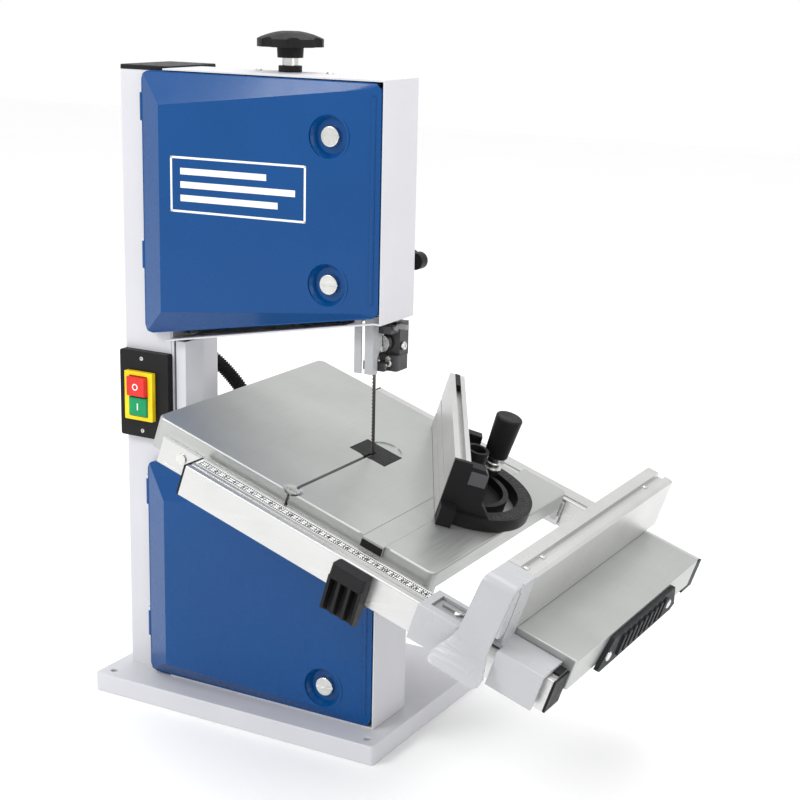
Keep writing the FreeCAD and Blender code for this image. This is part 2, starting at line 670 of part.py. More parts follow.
def make_tensioner():
    """Sliding axle block, its guide, the spring and the knob above the housing."""
    block = box((40, 14, 60), ("wheel_x - 20", "tension_y - 7.5", "upper_wheel_z - 30"))
    axle = rod("axle_radius", 34, ("wheel_x", "wheel_y - 12", "upper_wheel_z"), "Y")
    nut = rod(8, 3.5, ("wheel_x", "wheel_y - 12.8", "upper_wheel_z"), "Y")
    screw_bore = rod(4.3, 20, ("wheel_x", "tension_y", "upper_wheel_z + 15"))
    node("axle_block", fuse(cut(block, screw_bore), axle, nut))
    rails = [box((6, 20, 92), (V["wheel_x"] + x, V["tension_y"] - 10.2, V["upper_wheel_z"] - 46))
             for x in (-26.3, 20.3)]
    bridge = cut(box((52.6, 17, 5), ("wheel_x - 26.3", "tension_y - 7.2", "upper_wheel_z + 46")),
                 rod(4.4, 12, ("wheel_x", "tension_y", "upper_wheel_z + 43")))
    node("inner_brackets", group(fuse(bridge, *rails), make_post_holder()))
    spring = cut(rod(8, 15.4, ("wheel_x", "tension_y", "upper_wheel_z + 30.3")),
                 rod(5, 20, ("wheel_x", "tension_y", "upper_wheel_z + 28")))
    node("tension_spring", spring)
    top = V["upper_top"]
    screw = rod(4, top + 30 - V["upper_wheel_z"] - 20, ("wheel_x", "tension_y",
                                                        "upper_wheel_z + 20"))
    nut = rod(7.5, 6.6, ("wheel_x", "tension_y", top + 6.2))
    node("tension_screw", fuse(screw, nut))
    collar = cut(rod(11, 5.5, ("wheel_x", "tension_y", top + 0.2)),
                 rod(4.3, 8, ("wheel_x", "tension_y", top - 1)))
    node("tension_collar", collar)
    disc = Part.makeCylinder(V["knob_radius"], 14, Vector(V["wheel_x"], V["tension_y"], top + 23))
    for step in range(7):
        turn = 2 * math.pi * step / 7
        notch = Part.makeCylinder(9, 30, Vector(V["wheel_x"] + 36.5 * math.cos(turn),
                                                V["tension_y"] + 36.5 * math.sin(turn), top + 15))
        disc = disc.cut(notch)
    hub = Part.makeCone(12, 12.5, 10.2, Vector(V["wheel_x"], V["tension_y"], top + 13))
    crown = Part.makeSphere(70, Vector(V["wheel_x"], V["tension_y"], top + 37.5 - 70))
    knob = disc.common(crown).fuse(hub)
    bore = Part.makeCylinder(4, 18, Vector(V["wheel_x"], V["tension_y"], top + 12))
    node("tension_knob", solid(knob.cut(bore)))


def make_bearings():
    """Ball bearing of the drive shaft and its carrier on the lower housing's back wall."""
    z = "lower_wheel_z"
    ring = cut(rod(15, 8, ("wheel_x", "housing_back - 9", z), "Y"),
               rod("axle_radius + 0.05", 12, ("wheel_x", "housing_back - 11", z), "Y"))
    carrier = cut(rod(26, 6, ("wheel_x", "housing_back - 8", z), "Y"),
                  rod(15, 12, ("wheel_x", "housing_back - 11", z), "Y"))
    node("lower_bearing", group(carrier, ring))


def make_tracking_knob():
    """Knob behind the upper housing that tips the upper axle to track the blade."""
    y = V["housing_back"]
    stem = rod(4, 16, ("wheel_x", y - 4.9, "upper_wheel_z"), "Y")
    head = Part.makeCylinder(17, 12, Vector(V["wheel_x"], y + 10, V["upper_wheel_z"]), AXES["Y"])
    for step in range(6):
        turn = 2 * math.pi * step / 6
        head = head.cut(Part.makeCylinder(
            4, 20, Vector(V["wheel_x"] + 19 * math.cos(turn), y + 8,
                          V["upper_wheel_z"] + 19 * math.sin(turn)), AXES["Y"]))
    node("tracking_knob", fuse(stem, solid(head)))


# ---------------------------------------------------------------- upper guide

def make_guide_post():
    post = rod("post_radius", 170, ("post_x", "post_y", 392))
    node("guide_post", cut(post, box((3, 20, 120), ("post_x - post_radius - 1", "post_y - 10",
                                                     430))))


def make_post_holder():
    """Block on the housing's back wall that the post slides in, with its clamp screw hole."""
    block = box((25, 16.9, 50), ("post_x - 13", "post_y - 9", 437))
    bore = rod("post_radius + 0.1", 60, ("post_x", "post_y", 432))
    screw = rod(4.3, 30, ("post_x", "post_y - 1", 462), "Y")
    return cut(block, bore, screw)


def make_post_knob():
    """Three-lobed clamp knob at the back of the upper housing."""
    y = V["housing_back"]
    centre = Vector(V["post_x"], y + 4, 462)
    hub = Part.makeCylinder(9, 18, centre, AXES["Y"])
    knob = hub
    for step in range(3):
        turn = 2 * math.pi * step / 3
        tip = Vector(centre.x + 11 * math.cos(turn), y + 7, centre.z + 11 * math.sin(turn))
        knob = knob.fuse(Part.makeCylinder(8, 11, tip, AXES["Y"]))
        web = Part.makeBox(11, 11, 14, Vector(0, y + 7, -7))
        web.Placement = Placement(Vector(centre.x, 0, centre.z),
                                  Rotation(AXES["Y"], -math.degrees(turn)))
        knob = knob.fuse(web)
    stem = Part.makeCylinder(4, 8.4, Vector(V["post_x"], y - 3.2, 462), AXES["Y"])
    node("post_knob", solid(knob.fuse(stem)))


GUARD_FRONT = -69.5


def make_blade_guard():
    """Folded guard in front of the blade and beside it, with a long slot."""
    low = "guard_bottom"
    front = box((20, 1.5, "guard_length"), (BLADE_X - 13.5, GUARD_FRONT, low))
    slot = box((3.6, 6, "guard_length - 18"), (BLADE_X - 6.0, GUARD_FRONT - 2, "guard_bottom - 1"))
    side = box((1.5, 16.5, "guard_length"), (BLADE_X + 5, GUARD_FRONT, low))
    trim = solid(Part.Face(Part.makePolygon([
        Vector(0, GUARD_FRONT + 8.5, V["guard_bottom"] - 1),
        Vector(0, GUARD_FRONT + 20, V["guard_bottom"] - 1),
        Vector(0, GUARD_FRONT + 20, V["guard_bottom"] + 30),
        Vector(0, GUARD_FRONT + 8.5, V["guard_bottom"] + 15),
        Vector(0, GUARD_FRONT + 8.5, V["guard_bottom"] - 1)])).extrude(Vector(200, 0, 0)))
    left = box((1.5, 4, "guard_length"), (BLADE_X - 13.5, GUARD_FRONT, low))
    node("blade_guard", cut(fuse(front, side, left), slot, trim))


def make_guide_bracket():
    """Cast bracket on the post's foot that carries the guard, bearing and guide pins."""
    x, y, z = V["post_x"], V["post_y"], V["guard_bottom"]
    foot = box((26, 22, 15), (x - 14, y - 15, z + 1))
    stem = box((15, 16.4, 31.6), (x - 3.4, y - 9.3, z + 14.6))
    neck = rod(9.0, 16, (x, y, z + 30))
    arm = box((13, 28, 7), (BLADE_X + 6.6, GUARD_FRONT + 10, z + 38))
    bore = rod("post_radius", 20, (x, y, z + 30))
    web = rod(10, 8, (x - 10, y - 8, z + 27), "Y")
    gap = rod(8.4, 9.5, (BLADE_X + 5.5, y - 17.3, z + 27), "Y")
    jaws = [box((width, 10.4, 8), (BLADE_X + shift, V["wheel_y"] - 4, z + 2))
            for shift, width in ((-9.5, 5), (4.5, 8))]
    bracket = fuse(rounded(foot, 2.5, along("Z")), stem, *jaws)
    node("guide_bracket", cut(fuse(bracket, neck, arm, web, refine=False), bore, gap,
                              rod(3.03, 24, (BLADE_X + 5.5, y - 18, z + 27), "Y"),
                              rod(2.65, 40, (BLADE_X - 20, V["wheel_y"] - 0.2, z + 6), "X")))
    bearing = cut(rod(8, 6, (BLADE_X + 5.5, V["wheel_y"] + 3.3, z + 27), "Y"),
                  rod(3.05, 10, (BLADE_X + 5.5, V["wheel_y"] + 2, z + 27), "Y"))
    node("guide_bearing", bearing)
    pins = [rod(3, 14, (BLADE_X + 5.5, V["wheel_y"] + 3.5, z + 27), "Y"),
            rod(2.6, 8.2, (BLADE_X - 9, V["wheel_y"] - 0.2, z + 6), "X"),
            rod(2.6, 12, (BLADE_X + 0.8, V["wheel_y"] - 0.2, z + 6), "X"),
            rod(2.6, 2.4, (x - 8, y - 17.5, z + 12.8), "Y"),
            rod(2.6, 2.4, (x + 4, y - 17.5, z + 12.8), "Y")]
    node("guide_pins", group(*pins))


def make_lower_guide():
    """Small guide block under the table, with a thrust bearing behind the blade."""
    z = V["lower_top"] - 26
    block = box((24, 17.8, 20), (BLADE_X - 12, V["wheel_y"] + 11, z - 6))
    slit = [box((8, 12, 5), (BLADE_X + shift, V["wheel_y"] - 0.5, z + 4)) for shift in (-9, 1)]
    wheel = rod(6, 5, (BLADE_X, V["wheel_y"] + 3.4, z + 1), "Y")
    pin = rod(2, 5, (BLADE_X, V["wheel_y"] + 7.5, z + 1), "Y")
    return fuse(block, *slit, pin, wheel)


# ---------------------------------------------------------------- tilt bracket and table

def make_trunnion():
    """Bracket behind the lower housing with the tilt clamp, and the table's slotted segment."""
    plate = box((58, 6, 66), (BLADE_X - 41, "housing_back + 0.2", "lower_top - 62"))
    foot = box((58, 22, 5), (BLADE_X - 41, "housing_back + 0.2", "lower_top - 62"))
    bore = rod(4.2, 30, (BLADE_X, "housing_back - 5", "pivot_z - 42"), "Y")
    node("trunnion_base", group(cut(fuse(plate, foot), bore), make_lower_guide()))

    inner, outer = 37.5, 46.5
    y = V["housing_back"] + 6.5 - TABLE.Base.y
    disc = Part.makeCylinder(54, 6, Vector(V["pivot_u"], y, 0), AXES["Y"])
    below = Part.makeBox(120, 20, 60, Vector(V["pivot_u"] - 60, y - 5, -60 - V["table_plate"]))
    plate = disc.common(below)
    ring = Part.makeCylinder(outer, 10, Vector(V["pivot_u"], y - 2, 0), AXES["Y"])
    ring = ring.cut(Part.makeCylinder(inner, 10, Vector(V["pivot_u"], y - 2, 0), AXES["Y"]))
    middle = math.radians(22.5 - 90)
    reach = math.radians(32)
    spread = [Vector(V["pivot_u"], y - 2, 0)]
    for side in (-1, 1):
        angle = middle + side * reach
        spread.append(Vector(V["pivot_u"] + 90 * math.cos(angle), y - 2, 90 * math.sin(angle)))
    wedge = Part.Face(Part.makePolygon(spread + spread[:1])).extrude(Vector(0, 10, 0))
    flange = Part.makeBox(96, 8, 5, Vector(V["pivot_u"] - 48, y, -V["table_plate"] - 5))
    node("tilt_segment", solid(plate.fuse(flange).cut(ring.common(wedge))), TABLE)


def make_tilt_knob():
    """Clamp knob of the tilt: stud through the bracket and the segment's slot."""
    y = V["housing_back"] + 13.2
    z = V["pivot_z"] - 42
    head = Part.makeCylinder(20, 12, Vector(BLADE_X, y + 2, z), AXES["Y"])
    for step in range(5):
        turn = 2 * math.pi * step / 5 + 0.3
        head = head.cut(Part.makeCylinder(6, 20, Vector(BLADE_X + 23 * math.cos(turn), y,
                                                        z + 23 * math.sin(turn)), AXES["Y"]))
    stud = Part.makeCylinder(4, 20, Vector(BLADE_X, y - 12, z), AXES["Y"])
    washer = Part.makeCylinder(9, 1.8, Vector(BLADE_X, y + 0.2, z), AXES["Y"])
    node("tilt_knob", solid(head.fuse(stud).fuse(washer)))


INSERT = (130.0, 130.3, 40.0, 34.0)
TABLE_SCREWS = []


def make_table():
    """Ribbed cast table with a blade slot, an insert seat and a mitre slot."""
    body = body_pad("XY_Plane", "skirt", [rectangle(0, 0, "table_width", "table_depth")],
                    at=(0, 0, "-skirt"))
    body_pocket(body, "XY_Plane", "skirt - table_plate",
                [rectangle(5, 5, "table_width - 10", "table_depth - 10")], reverse=True)
    body_fillet(body, 7, lambda edge: along("Z")(edge) and corner_of_table(edge))
    body_fillet(body, 1.6, lambda edge: edge.BoundBox.ZMin > V["skirt"] - 0.1)
    channel = box(("slot_width + 9", "table_depth", 15),
                  ("slot_u - slot_width / 2 - 4.5", 0, -15))
    slot = box(("slot_width", "table_depth + 20", 30), ("slot_u - slot_width / 2", -10,
                                                        "-slot_depth"))
    blade_slot = box((3.2, "blade_v + 12", 40), ("pivot_u - 1.6", -10, -35))
    seat = box((INSERT[2] + 0.4, INSERT[3] + 0.4, 3.4), (INSERT[0] - 0.2, INSERT[1] - 0.2, -3.2))
    mouth = rod(14, 30, ("pivot_u", "blade_v", -25))
    pin_bore = rod(2.7, 30, ("pivot_u", 5, -25))
    recess = rod(15, 3, ("pivot_u + 3", "blade_v + 22", -1.2))
    dimple = cone(5, 10, 4, ("pivot_u", 5, -3.8))
    trim = box((20, "table_depth - 22", 20), ("table_width - 8", 14, "-skirt - 20 + 13"))
    node("table", cut(fuse(body, channel), slot, blade_slot, seat, mouth, recess, dimple, pin_bore,
                      trim),
         TABLE)


def corner_of_table(edge):
    bounds = edge.BoundBox
    at_side = bounds.XMin < 0.1 or bounds.XMax > V["table_width"] - 0.1
    return at_side and (bounds.YMin < 0.1 or bounds.YMax > V["table_depth"] - 0.1)


def make_table_insert():
    plate = box((INSERT[2], INSERT[3], 3), (INSERT[0], INSERT[1], -3.1))
    slot = box((3.4, 25, 10), ("pivot_u - 1.7", "blade_v - 20", -6))
    relief = [Vector(V["pivot_u"] + u, V["blade_v"] - 20, h)
              for u, h in ((1.0, 0.4), (5.2, -3.4), (1.0, -3.4))]
    relief = solid(Part.Face(Part.makePolygon(relief + relief[:1])).extrude(Vector(0, 25, 0)))
    node("table_insert", cut(plate, slot, relief), TABLE)
    pin = fuse(cone(4.6, 6.6, 3, ("pivot_u", 5, -3.3)), rod(2.6, 16, ("pivot_u", 5, -19)))
    TABLE_SCREWS.append(cut(pin, box((14, 1.4, 1.2), ("pivot_u - 7", 4.3, -1.2))))


def make_rail_brackets():
    """Bars bolted to the table's front and back edges, which the rails slide along."""
    back = V["table_depth"]
    screw_u, screw_h = 38.4, -24.5
    bars = []
    for bar_v, lip_v, head_v, shaft_v in ((-4.2, -5.2, -5.6, -4.4),
                                          (back + 0.2, back + 4, back + 4.25, back + 0.3)):
        bar = box((286, 4, 25), (14.5, bar_v, -38.5))
        lips = [box((286, 1.2, 2), (14.5, lip_v, level)) for level in (-38.5, -15.5)]
        bore = rod(2.6, 12, (screw_u, bar_v - 4, screw_h), "Y")
        bars.append(cut(fuse(bar, *lips), bore))
        TABLE_SCREWS.append(fuse(rod(5, 1.3, (screw_u, head_v, screw_h), "Y"),
                                 rod(2.5, 4.1, (screw_u, shaft_v, screw_h), "Y")))
    node("rail_brackets", group(*bars), TABLE)
    node("table_screws", group(*TABLE_SCREWS), TABLE)


# ---------------------------------------------------------------- rails and extension table

RAIL_FRONT_V = -33.4
RAIL_BACK_V = 281.8
CARRIAGE_FRONT_V = -43.5


def rail_solid(v):
    """A hollow rail with a ridge along its front top edge and a groove in its top."""
    outer = box(("rail_length", "rail_width", "rail_height"),
                ("rail_left", v, "rail_top - rail_height"))
    inner = box(("rail_length + 2", "rail_width - 4", "rail_height - 4"),
                ("rail_left - 1", v + 2, "rail_top - rail_height + 2"))
    return rounded(outer, 1.2, along("X")), inner


def make_rails():
    for label, v in (("front_rail", RAIL_FRONT_V), ("rear_rail", RAIL_BACK_V)):
        outer, inner = rail_solid(v)
        groove = box(("rail_length + 2", 4, 1.4), ("rail_left - 1", v + 4.5, "rail_top - 0.8"))
        node(label, cut(outer, inner, groove), TABLE)
    caps = [box((3, 22, 24), (u, v + 2.75, "rail_top - rail_height + 2.75"))
            for v in (RAIL_FRONT_V, RAIL_BACK_V) for u in ("rail_left - 1.5",
                                                           "rail_left + rail_length - 1.5")]
    faces = [box((2, 27, 29), (u, v + 0.25, "rail_top - rail_height + 0.25"))
             for v in (RAIL_FRONT_V, RAIL_BACK_V) for u in ("rail_left - 2.3",
                                                            "rail_left + rail_length + 0.3")]
    node("rail_caps", group(*[fuse(cap, face) for cap, face in zip(caps, faces)]), TABLE)
    ruler = box((246, 11, 0.6), ("rail_left + 1.5", RAIL_FRONT_V + 12.5, "rail_top + 0.02"))
    node("ruler", ruler, TABLE)


def make_extension():
    """Extension table on the rails, with a ribbed grip on its outer side."""
    body = body_pad("XY_Plane", "ext_thick",
                    [rectangle("ext_left", -5.2, "ext_width", "ext_depth + 6")],
                    at=(0, 0, "-ext_thick"))
    body_pocket(body, "XY_Plane", "ext_thick - 6",
                [rectangle("ext_left + 4", -1.2, "ext_width - 8", "ext_depth - 2")], reverse=True)
    body_fillet(body, 2, lambda edge: along("Z")(edge) and edge.Length > V["ext_thick"] - 1)
    body_fillet(body, 1.2, lambda edge: edge.BoundBox.ZMin > V["ext_thick"] - 0.1)
    node("extension_table", body, TABLE)
    right = V["ext_left"] + V["ext_width"]
    outline = [Vector(right + 0.3, v, h) for v, h in ((68, -4), (212, -4), (236, -31), (228, -35),
                                                      (60, -35), (52, -31))]
    plate = Part.Face(Part.makePolygon(outline + outline[:1])).extrude(Vector(4, 0, 0))
    for step in range(9):
        rib = Part.makeBox(3, 5.5, 20, Vector(right + 3.8, 88 + 12.5 * step, -28))
        plate = plate.fuse(rib)
    for v in (64.6, 207):
        plate = plate.cut(Part.makeCylinder(2.6, 10, Vector(right - 1, v, -20), AXES["X"]))
    node("extension_grip", solid(plate), TABLE)


def make_fence():
    """Rip fence: aluminium section, carriage over the front rail and clamp lever."""
    profile = [("fence_left", 0.6), ("fence_left + fence_width", 0.6),
               ("fence_left + fence_width", "fence_height - 2"),
               ("fence_left + fence_width - 3", "fence_height - 0.6"),
               ("fence_left + fence_width - 9", "fence_height - 0.6"),
               ("fence_left + fence_width - 10", "fence_height - 4"),
               ("fence_left + fence_width - 15", "fence_height - 4"),
               ("fence_left + fence_width - 16", "fence_height"), ("fence_left", "fence_height")]
    inner = rectangle("fence_left + 2.5", 3.1, "fence_width - 5", "fence_height - 11")
    body = body_pad("XZ_Plane", "fence_length", [profile, inner],
                    at=(0, "fence_length + fence_front", 0))
    node("rip_fence", body, TABLE)

    level = V["rail_top"]
    left, right = 311.5, 430.5
    top = box((right - left, 37.6, 3.4), (left, CARRIAGE_FRONT_V, level + 1.3))
    shell = top
    for start, end in ((left, 350.0), (388.0, right)):
        shell = fuse(shell, box((end - start, 3.4, 32.5), (start, CARRIAGE_FRONT_V, level - 27.8)),
                     box((end - start - 4, 6.4, 24), (start + 2, CARRIAGE_FRONT_V + 3.3,
                                                      level - 22)))
    shell = rounded(shell, 2.0, lambda edge: along("X")(edge)
                    and edge.BoundBox.ZMin > level + 4 and edge.BoundBox.YMax < -36)
    opening = box((38, 12, 10), (350, CARRIAGE_FRONT_V - 1, level - 2))
    window = box((31, 22, 10), (left + 7, CARRIAGE_FRONT_V + 10, level - 2))
    tower = box((27.5, 23.6, "fence_height - rail_top - 4.2"),
                (357.5, RAIL_FRONT_V + 2.6, level + 4))
    node("fence_carriage", cut(fuse(shell, tower), window, opening), TABLE)


def make_fence_lever():
    """Clamp lever: arched plate from its pin at the fence's top down to a flared foot."""
    width = 28.0
    u = 357.2
    back = RAIL_FRONT_V + 1.5
    arch = [(back, 50.6), (-38.0, 50.6), (-44.5, 47.5), (-47.0, 41.0), (-46.5, -10.0),
            (-52.0, -24.0), (-49.0, -26.5), (-41.6, -12.0),
            (-41.6, 36.0), (-38.5, 44.0), (back - 1.0, 46.0), (back, 46.0)]
    points = [Vector(u, v, h) for v, h in arch]
    strap = Part.Face(Part.makePolygon(points + points[:1])).extrude(Vector(width, 0, 0))
    cheeks = [Part.Face(Part.makePolygon([Vector(u + shift, v, h) for v, h in (
        (back - 0.4, 47.5), (-39.5, 47.5), (-42.5, 38.0), (-42.5, 4.0), (back - 0.4, 10.0),
        (back - 0.4, 47.5))]
        )).extrude(Vector(2.5, 0, 0)) for shift in (0, width - 2.5)]
    base = [Vector(u - 24, -67, 0), Vector(u + width + 3, -67, 0), Vector(u + width + 3, -58, 0),
            Vector(u + width, -47.5, 0), Vector(u, -47.5, 0), Vector(u - 24, -58, 0)]
    pad = Part.Face(Part.makePolygon(base + base[:1])).extrude(Vector(0, 0, 4))
    pad.rotate(Vector(u, -47.5, 0), AXES["X"], 38)
    pad.translate(Vector(0, -1.3, -21.5))
    pin = Part.makeCylinder(1.5, width + 1.2, Vector(u - 0.6, -32.5, 48.5), AXES["X"])
    lever = strap.fuse(cheeks + [pad, pin])
    node("fence_lever", solid(lever.removeSplitter()), TABLE)


def make_push_stick_holder():
    """Plastic holder on the front rail with four prongs and an arm under the rail."""
    front = RAIL_FRONT_V - 0.4
    cap = Part.makeBox(34, 13.6, 13, Vector(229.5, front - 13.6, V["rail_top"] - 14))
    cap = cap.makeFillet(2.5, [edge for edge in cap.Edges if along("Z")(edge)])
    back = Part.makeBox(34, 2.4, 38, Vector(229.5, front - 2.4, V["rail_top"] - 50))
    pieces = [back]
    for step in range(4):
        u = 229.5 + step * 10.4
        outline = [Vector(u, front - 13.4, V["rail_top"] - 12),
                   Vector(u, front - 2.2, V["rail_top"] - 12),
                   Vector(u, front - 2.2, V["rail_top"] - 50),
                   Vector(u, front - 10.0, V["rail_top"] - 46)]
        prong = Part.Face(Part.makePolygon(outline + outline[:1])).extrude(Vector(2.8, 0, 0))
        pieces.append(prong)
    arm = Part.makeBox(30, 26, 3, Vector(233.5, front - 2.0, V["rail_top"] - V["rail_height"] - 4))
    holder = cap
    for piece in pieces + [arm]:
        holder = holder.fuse(piece)
    node("push_stick_holder", solid(holder.removeSplitter()), TABLE)


# ---------------------------------------------------------------- mitre gauge

def side_wall(x, width, profile):
    """A wall of the mitre head, from its (y, height) outline."""
    points = [Vector(x, y, h) for y, h in profile]
    return Part.Face(Part.makePolygon(points + points[:1])).extrude(Vector(width, 0, 0))


def make_mitre_head():
    """Half disc with an arc slot, a central boss, two side walls and the fence's end cap."""
    under = 0.6
    back = V["mitre_left"] + V["mitre_thick"] + 0.2
    top = V["head_plate"] + under
    radius = V["head_radius"]
    behind = Part.makeBox(200, 110, 90, Vector(-100, back, -5))
    disc = Part.makeCylinder(radius, V["head_plate"], Vector(0, 0, under)).common(behind)
    slot = Part.makeCylinder(52.5, 30, Vector(0, 0, -5)).cut(
        Part.makeCylinder(43, 30, Vector(0, 0, -5)))
    disc = disc.cut(slot.common(Part.makeBox(200, 60, 40, Vector(-100, 17, -5))))
    recess = Part.makeCylinder(38, 10, Vector(0, 0, 5.5))
    disc = disc.cut(recess.common(Part.makeBox(200, 60, 40, Vector(-100, 14, -5))))
    near = side_wall(50, 12, [(back, under), (back, 57.5), (4, 57), (8, 52), (10, 40),
                              (10.3, 25), (21, top), (21, under)])
    far = side_wall(-62, 10, [(back, under), (back, 39.5), (11.6, 38.5), (12, 25),
                              (20, top), (20, under)])
    wall = Part.makeBox(120, 4, 36, Vector(-60, back, under))
    boss = Part.makeCylinder(11.2, 48.1, Vector(0, 1.4, under))
    cap = Part.makeBox(4.2, 16.6, 59.8, Vector(58, V["mitre_left"] - 0.2, under))
    toe = Part.makeBox(13.2, 14, 17.4, Vector(61.8, V["mitre_left"], under))
    head = disc.fuse([near, far, wall, boss, cap, toe])
    head = head.cut(Part.makeCylinder(8, 30, Vector(0, 1.4, 22)))
    head = head.cut(Part.makeCylinder(5.05, 40, Vector(0, 0, -1)))
    node("mitre_head", solid(head.removeSplitter()), HEAD)


def make_mitre_gauge():
    """Bar in the table slot, swivelling head, its fence and the lock handle."""
    bar = rounded(box(("slot_width - 0.5", "bar_length", "slot_depth - 0.4"),
                      ("slot_u - slot_width / 2 + 0.25", -2.5, "-slot_depth + 0.25")),
                  1.0, along("Z"))
    pivot = rod(5, 2.4, ("slot_u", "head_v", -2))
    node("mitre_bar", fuse(bar, pivot), TABLE)
    make_mitre_head()

    left, thick, height = V["mitre_left"], V["mitre_thick"], V["mitre_height"]
    far = V["mitre_near"] - V["mitre_length"]
    fence = Part.makeBox(V["mitre_length"], thick, height - 0.7, Vector(far, left, 0.7))
    fence = fence.cut(Part.makeBox(400, 5.2, 6.4, Vector(-300, left + 5.2, height - 6.3)))
    for low in (14.0, 29.0):
        fence = fence.cut(Part.makeBox(400, 1.6, 2.4, Vector(-300, left - 1, low)))
    fence = fence.cut(Part.makeBox(400, 9, 12, Vector(-300, left + 3, 34)))
    plug = Part.makeBox(4, 4.8, 4.4, Vector(far + 0.2, left + 5.4, height - 6.2))
    node("mitre_fence", group(solid(fence), solid(plug)), HEAD)

    foot = Vector(-39.7, 26.8, 0)
    profile = ((4.0, 0.8, 14), (8.5, 12.8, 4.2), (5.5, 17.0, 14))
    handle = Part.makeCone(11.2, 13.0, 42, foot + Vector(0, 0, 30), AXES["Z"])
    handle = handle.makeFillet(2.0, [handle.Edges[0], handle.Edges[2]])
    handle = handle.fuse([Part.makeCylinder(radius, length, foot + Vector(0, 0, start))
                          for radius, start, length in profile])
    node("mitre_handle", solid(handle), HEAD)


# ---------------------------------------------------------------- switch and small parts

def make_switch():
    x = "column_left - 0.3"
    front = "column_front - switch_depth - 0.1"
    plate = rounded(box(("switch_width", "switch_depth", "switch_height"), (x, front, 267.5)),
                    2.5, along("Y"))
    inside = box((40, 30, 66), ("column_left + 9", "column_front - 2", 260 + 17))
    well = box((23.5, 12, 42), ("column_left + 14", "column_front - switch_depth - 3", 289.5))
    screws = [rod(2.6, 3, (-124.9, "column_front - switch_depth - 3", z), "Y")
              for z in (347.6, 274)]
    node("switch_box", cut(fuse(plate, inside), well, *screws))
    frame = cut(box((34, 5, 49), ("column_left + 8.8", "column_front - switch_depth - 5.2", 286)),
                box((23, 9, 41.4), ("column_left + 14.2", "column_front - switch_depth - 7", 289.8)))
    node("switch_frame", rounded(frame, 1.0, along("Y")))
    for label, z, depth in (("off_button", 311.2, 10.5), ("on_button", 290.5, 7)):
        cap = box((22, depth + 3, 19), ("column_left + 14.7",
                                        "column_front - switch_depth - %s" % depth, z))
        node(label, rounded(cap, 1.2, at_level(
            "Y", V["column_front"] - V["switch_depth"] - depth)))


def build():
    make_base_plate()
    make_column()
    make_column_cap()
    make_blade_channel()
    make_upper_housing()
    make_lower_housing()
    make_doors()
    make_hinge_pins()
    for label, z in (("upper_wheel", "upper_wheel_z"), ("lower_wheel", "lower_wheel_z")):
        make_wheel(label, z)
    make_tyre("upper_tyre", "upper_wheel_z")
    make_tyre("lower_tyre", "lower_wheel_z")
    make_blade()
    make_drive()
    make_motor_lead()
    make_tensioner()
    make_bearings()
    make_tracking_knob()
    make_guide_post()
    make_post_knob()
    make_blade_guard()
    make_guide_bracket()
    make_trunnion()
    make_tilt_knob()
    make_table()
    make_table_insert()
    make_rail_brackets()
    make_rails()
    make_extension()
    make_fence()
    make_fence_lever()
    make_push_stick_holder()
    make_mitre_gauge()
    make_switch()
    doc.recompute()


def export():
    failed = [thing for thing in doc.Objects
              if "Invalid" in thing.State or "Error" in thing.State]
    for thing in failed:
        print("failed", thing.Name, thing.Label, thing.State, [i.Label for i in thing.InList])
    if failed:
        raise RuntimeError("%d objects failed" % len(failed))
    hollow = [thing.Label for thing in NODES
              if thing.Shape.isNull() or not thing.Shape.isValid() or not thing.Shape.Solids]
    if hollow:
        raise RuntimeError("no valid solid: " + ", ".join(hollow))
    os.makedirs("parts", exist_ok=True)
    for thing in NODES:
        thing.Shape.exportStep("parts/%s.step" % thing.Label)
    print("%d nodes" % len(NODES))


build()
export()
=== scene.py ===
import json
import math

import bmesh
import bpy
from mathutils import Matrix, Vector


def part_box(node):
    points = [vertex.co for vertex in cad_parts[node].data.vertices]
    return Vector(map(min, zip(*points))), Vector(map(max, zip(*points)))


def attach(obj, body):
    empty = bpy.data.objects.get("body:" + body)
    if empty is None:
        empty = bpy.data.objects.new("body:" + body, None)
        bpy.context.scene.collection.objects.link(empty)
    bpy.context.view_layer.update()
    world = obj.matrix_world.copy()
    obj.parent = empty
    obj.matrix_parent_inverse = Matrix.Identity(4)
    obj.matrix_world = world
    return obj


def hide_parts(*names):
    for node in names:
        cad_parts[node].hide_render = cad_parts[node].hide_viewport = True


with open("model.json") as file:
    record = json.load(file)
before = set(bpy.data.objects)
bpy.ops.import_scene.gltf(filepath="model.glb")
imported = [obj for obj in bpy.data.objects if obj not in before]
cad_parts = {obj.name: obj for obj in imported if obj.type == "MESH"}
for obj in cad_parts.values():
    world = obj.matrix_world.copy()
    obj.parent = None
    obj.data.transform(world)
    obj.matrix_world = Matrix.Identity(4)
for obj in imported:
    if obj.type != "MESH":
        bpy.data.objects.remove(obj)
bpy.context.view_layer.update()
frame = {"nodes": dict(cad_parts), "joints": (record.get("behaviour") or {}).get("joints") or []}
MM = 0.001


# ---------------------------------------------------------------- places taken from the frame

def joint(name):
    return next(j for j in frame["joints"] if j["name"] == name)


def low(node):
    return Vector(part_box(node)[0])


def high(node):
    return Vector(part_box(node)[1])


TILT_AT = Vector(joint("table_tilt")["pos_m"])
SLIDE = Vector(joint("extension_slide")["axis"]).normalized()
NORMAL = Vector(joint("mitre_swivel")["axis"]).normalized()
BACK = Vector((0, 1, 0))
PIVOT_U = 149 * MM
CORNER = Vector((TILT_AT.x, low("table").y, TILT_AT.z)) - SLIDE * PIVOT_U

# the rest of this part is in millimetres
BLADE_X = TILT_AT.x / MM
LOWER_HUB = Vector(joint("lower_wheel_spin")["pos_m"]) / MM
UPPER_HUB = Vector(joint("upper_wheel_spin")["pos_m"]) / MM
WHEEL_X = LOWER_HUB.x


def on_table(u, v, h):
    """A place given in millimetres in the tilted table's own axes."""
    return CORNER + SLIDE * u * MM + BACK * v * MM + NORMAL * h * MM


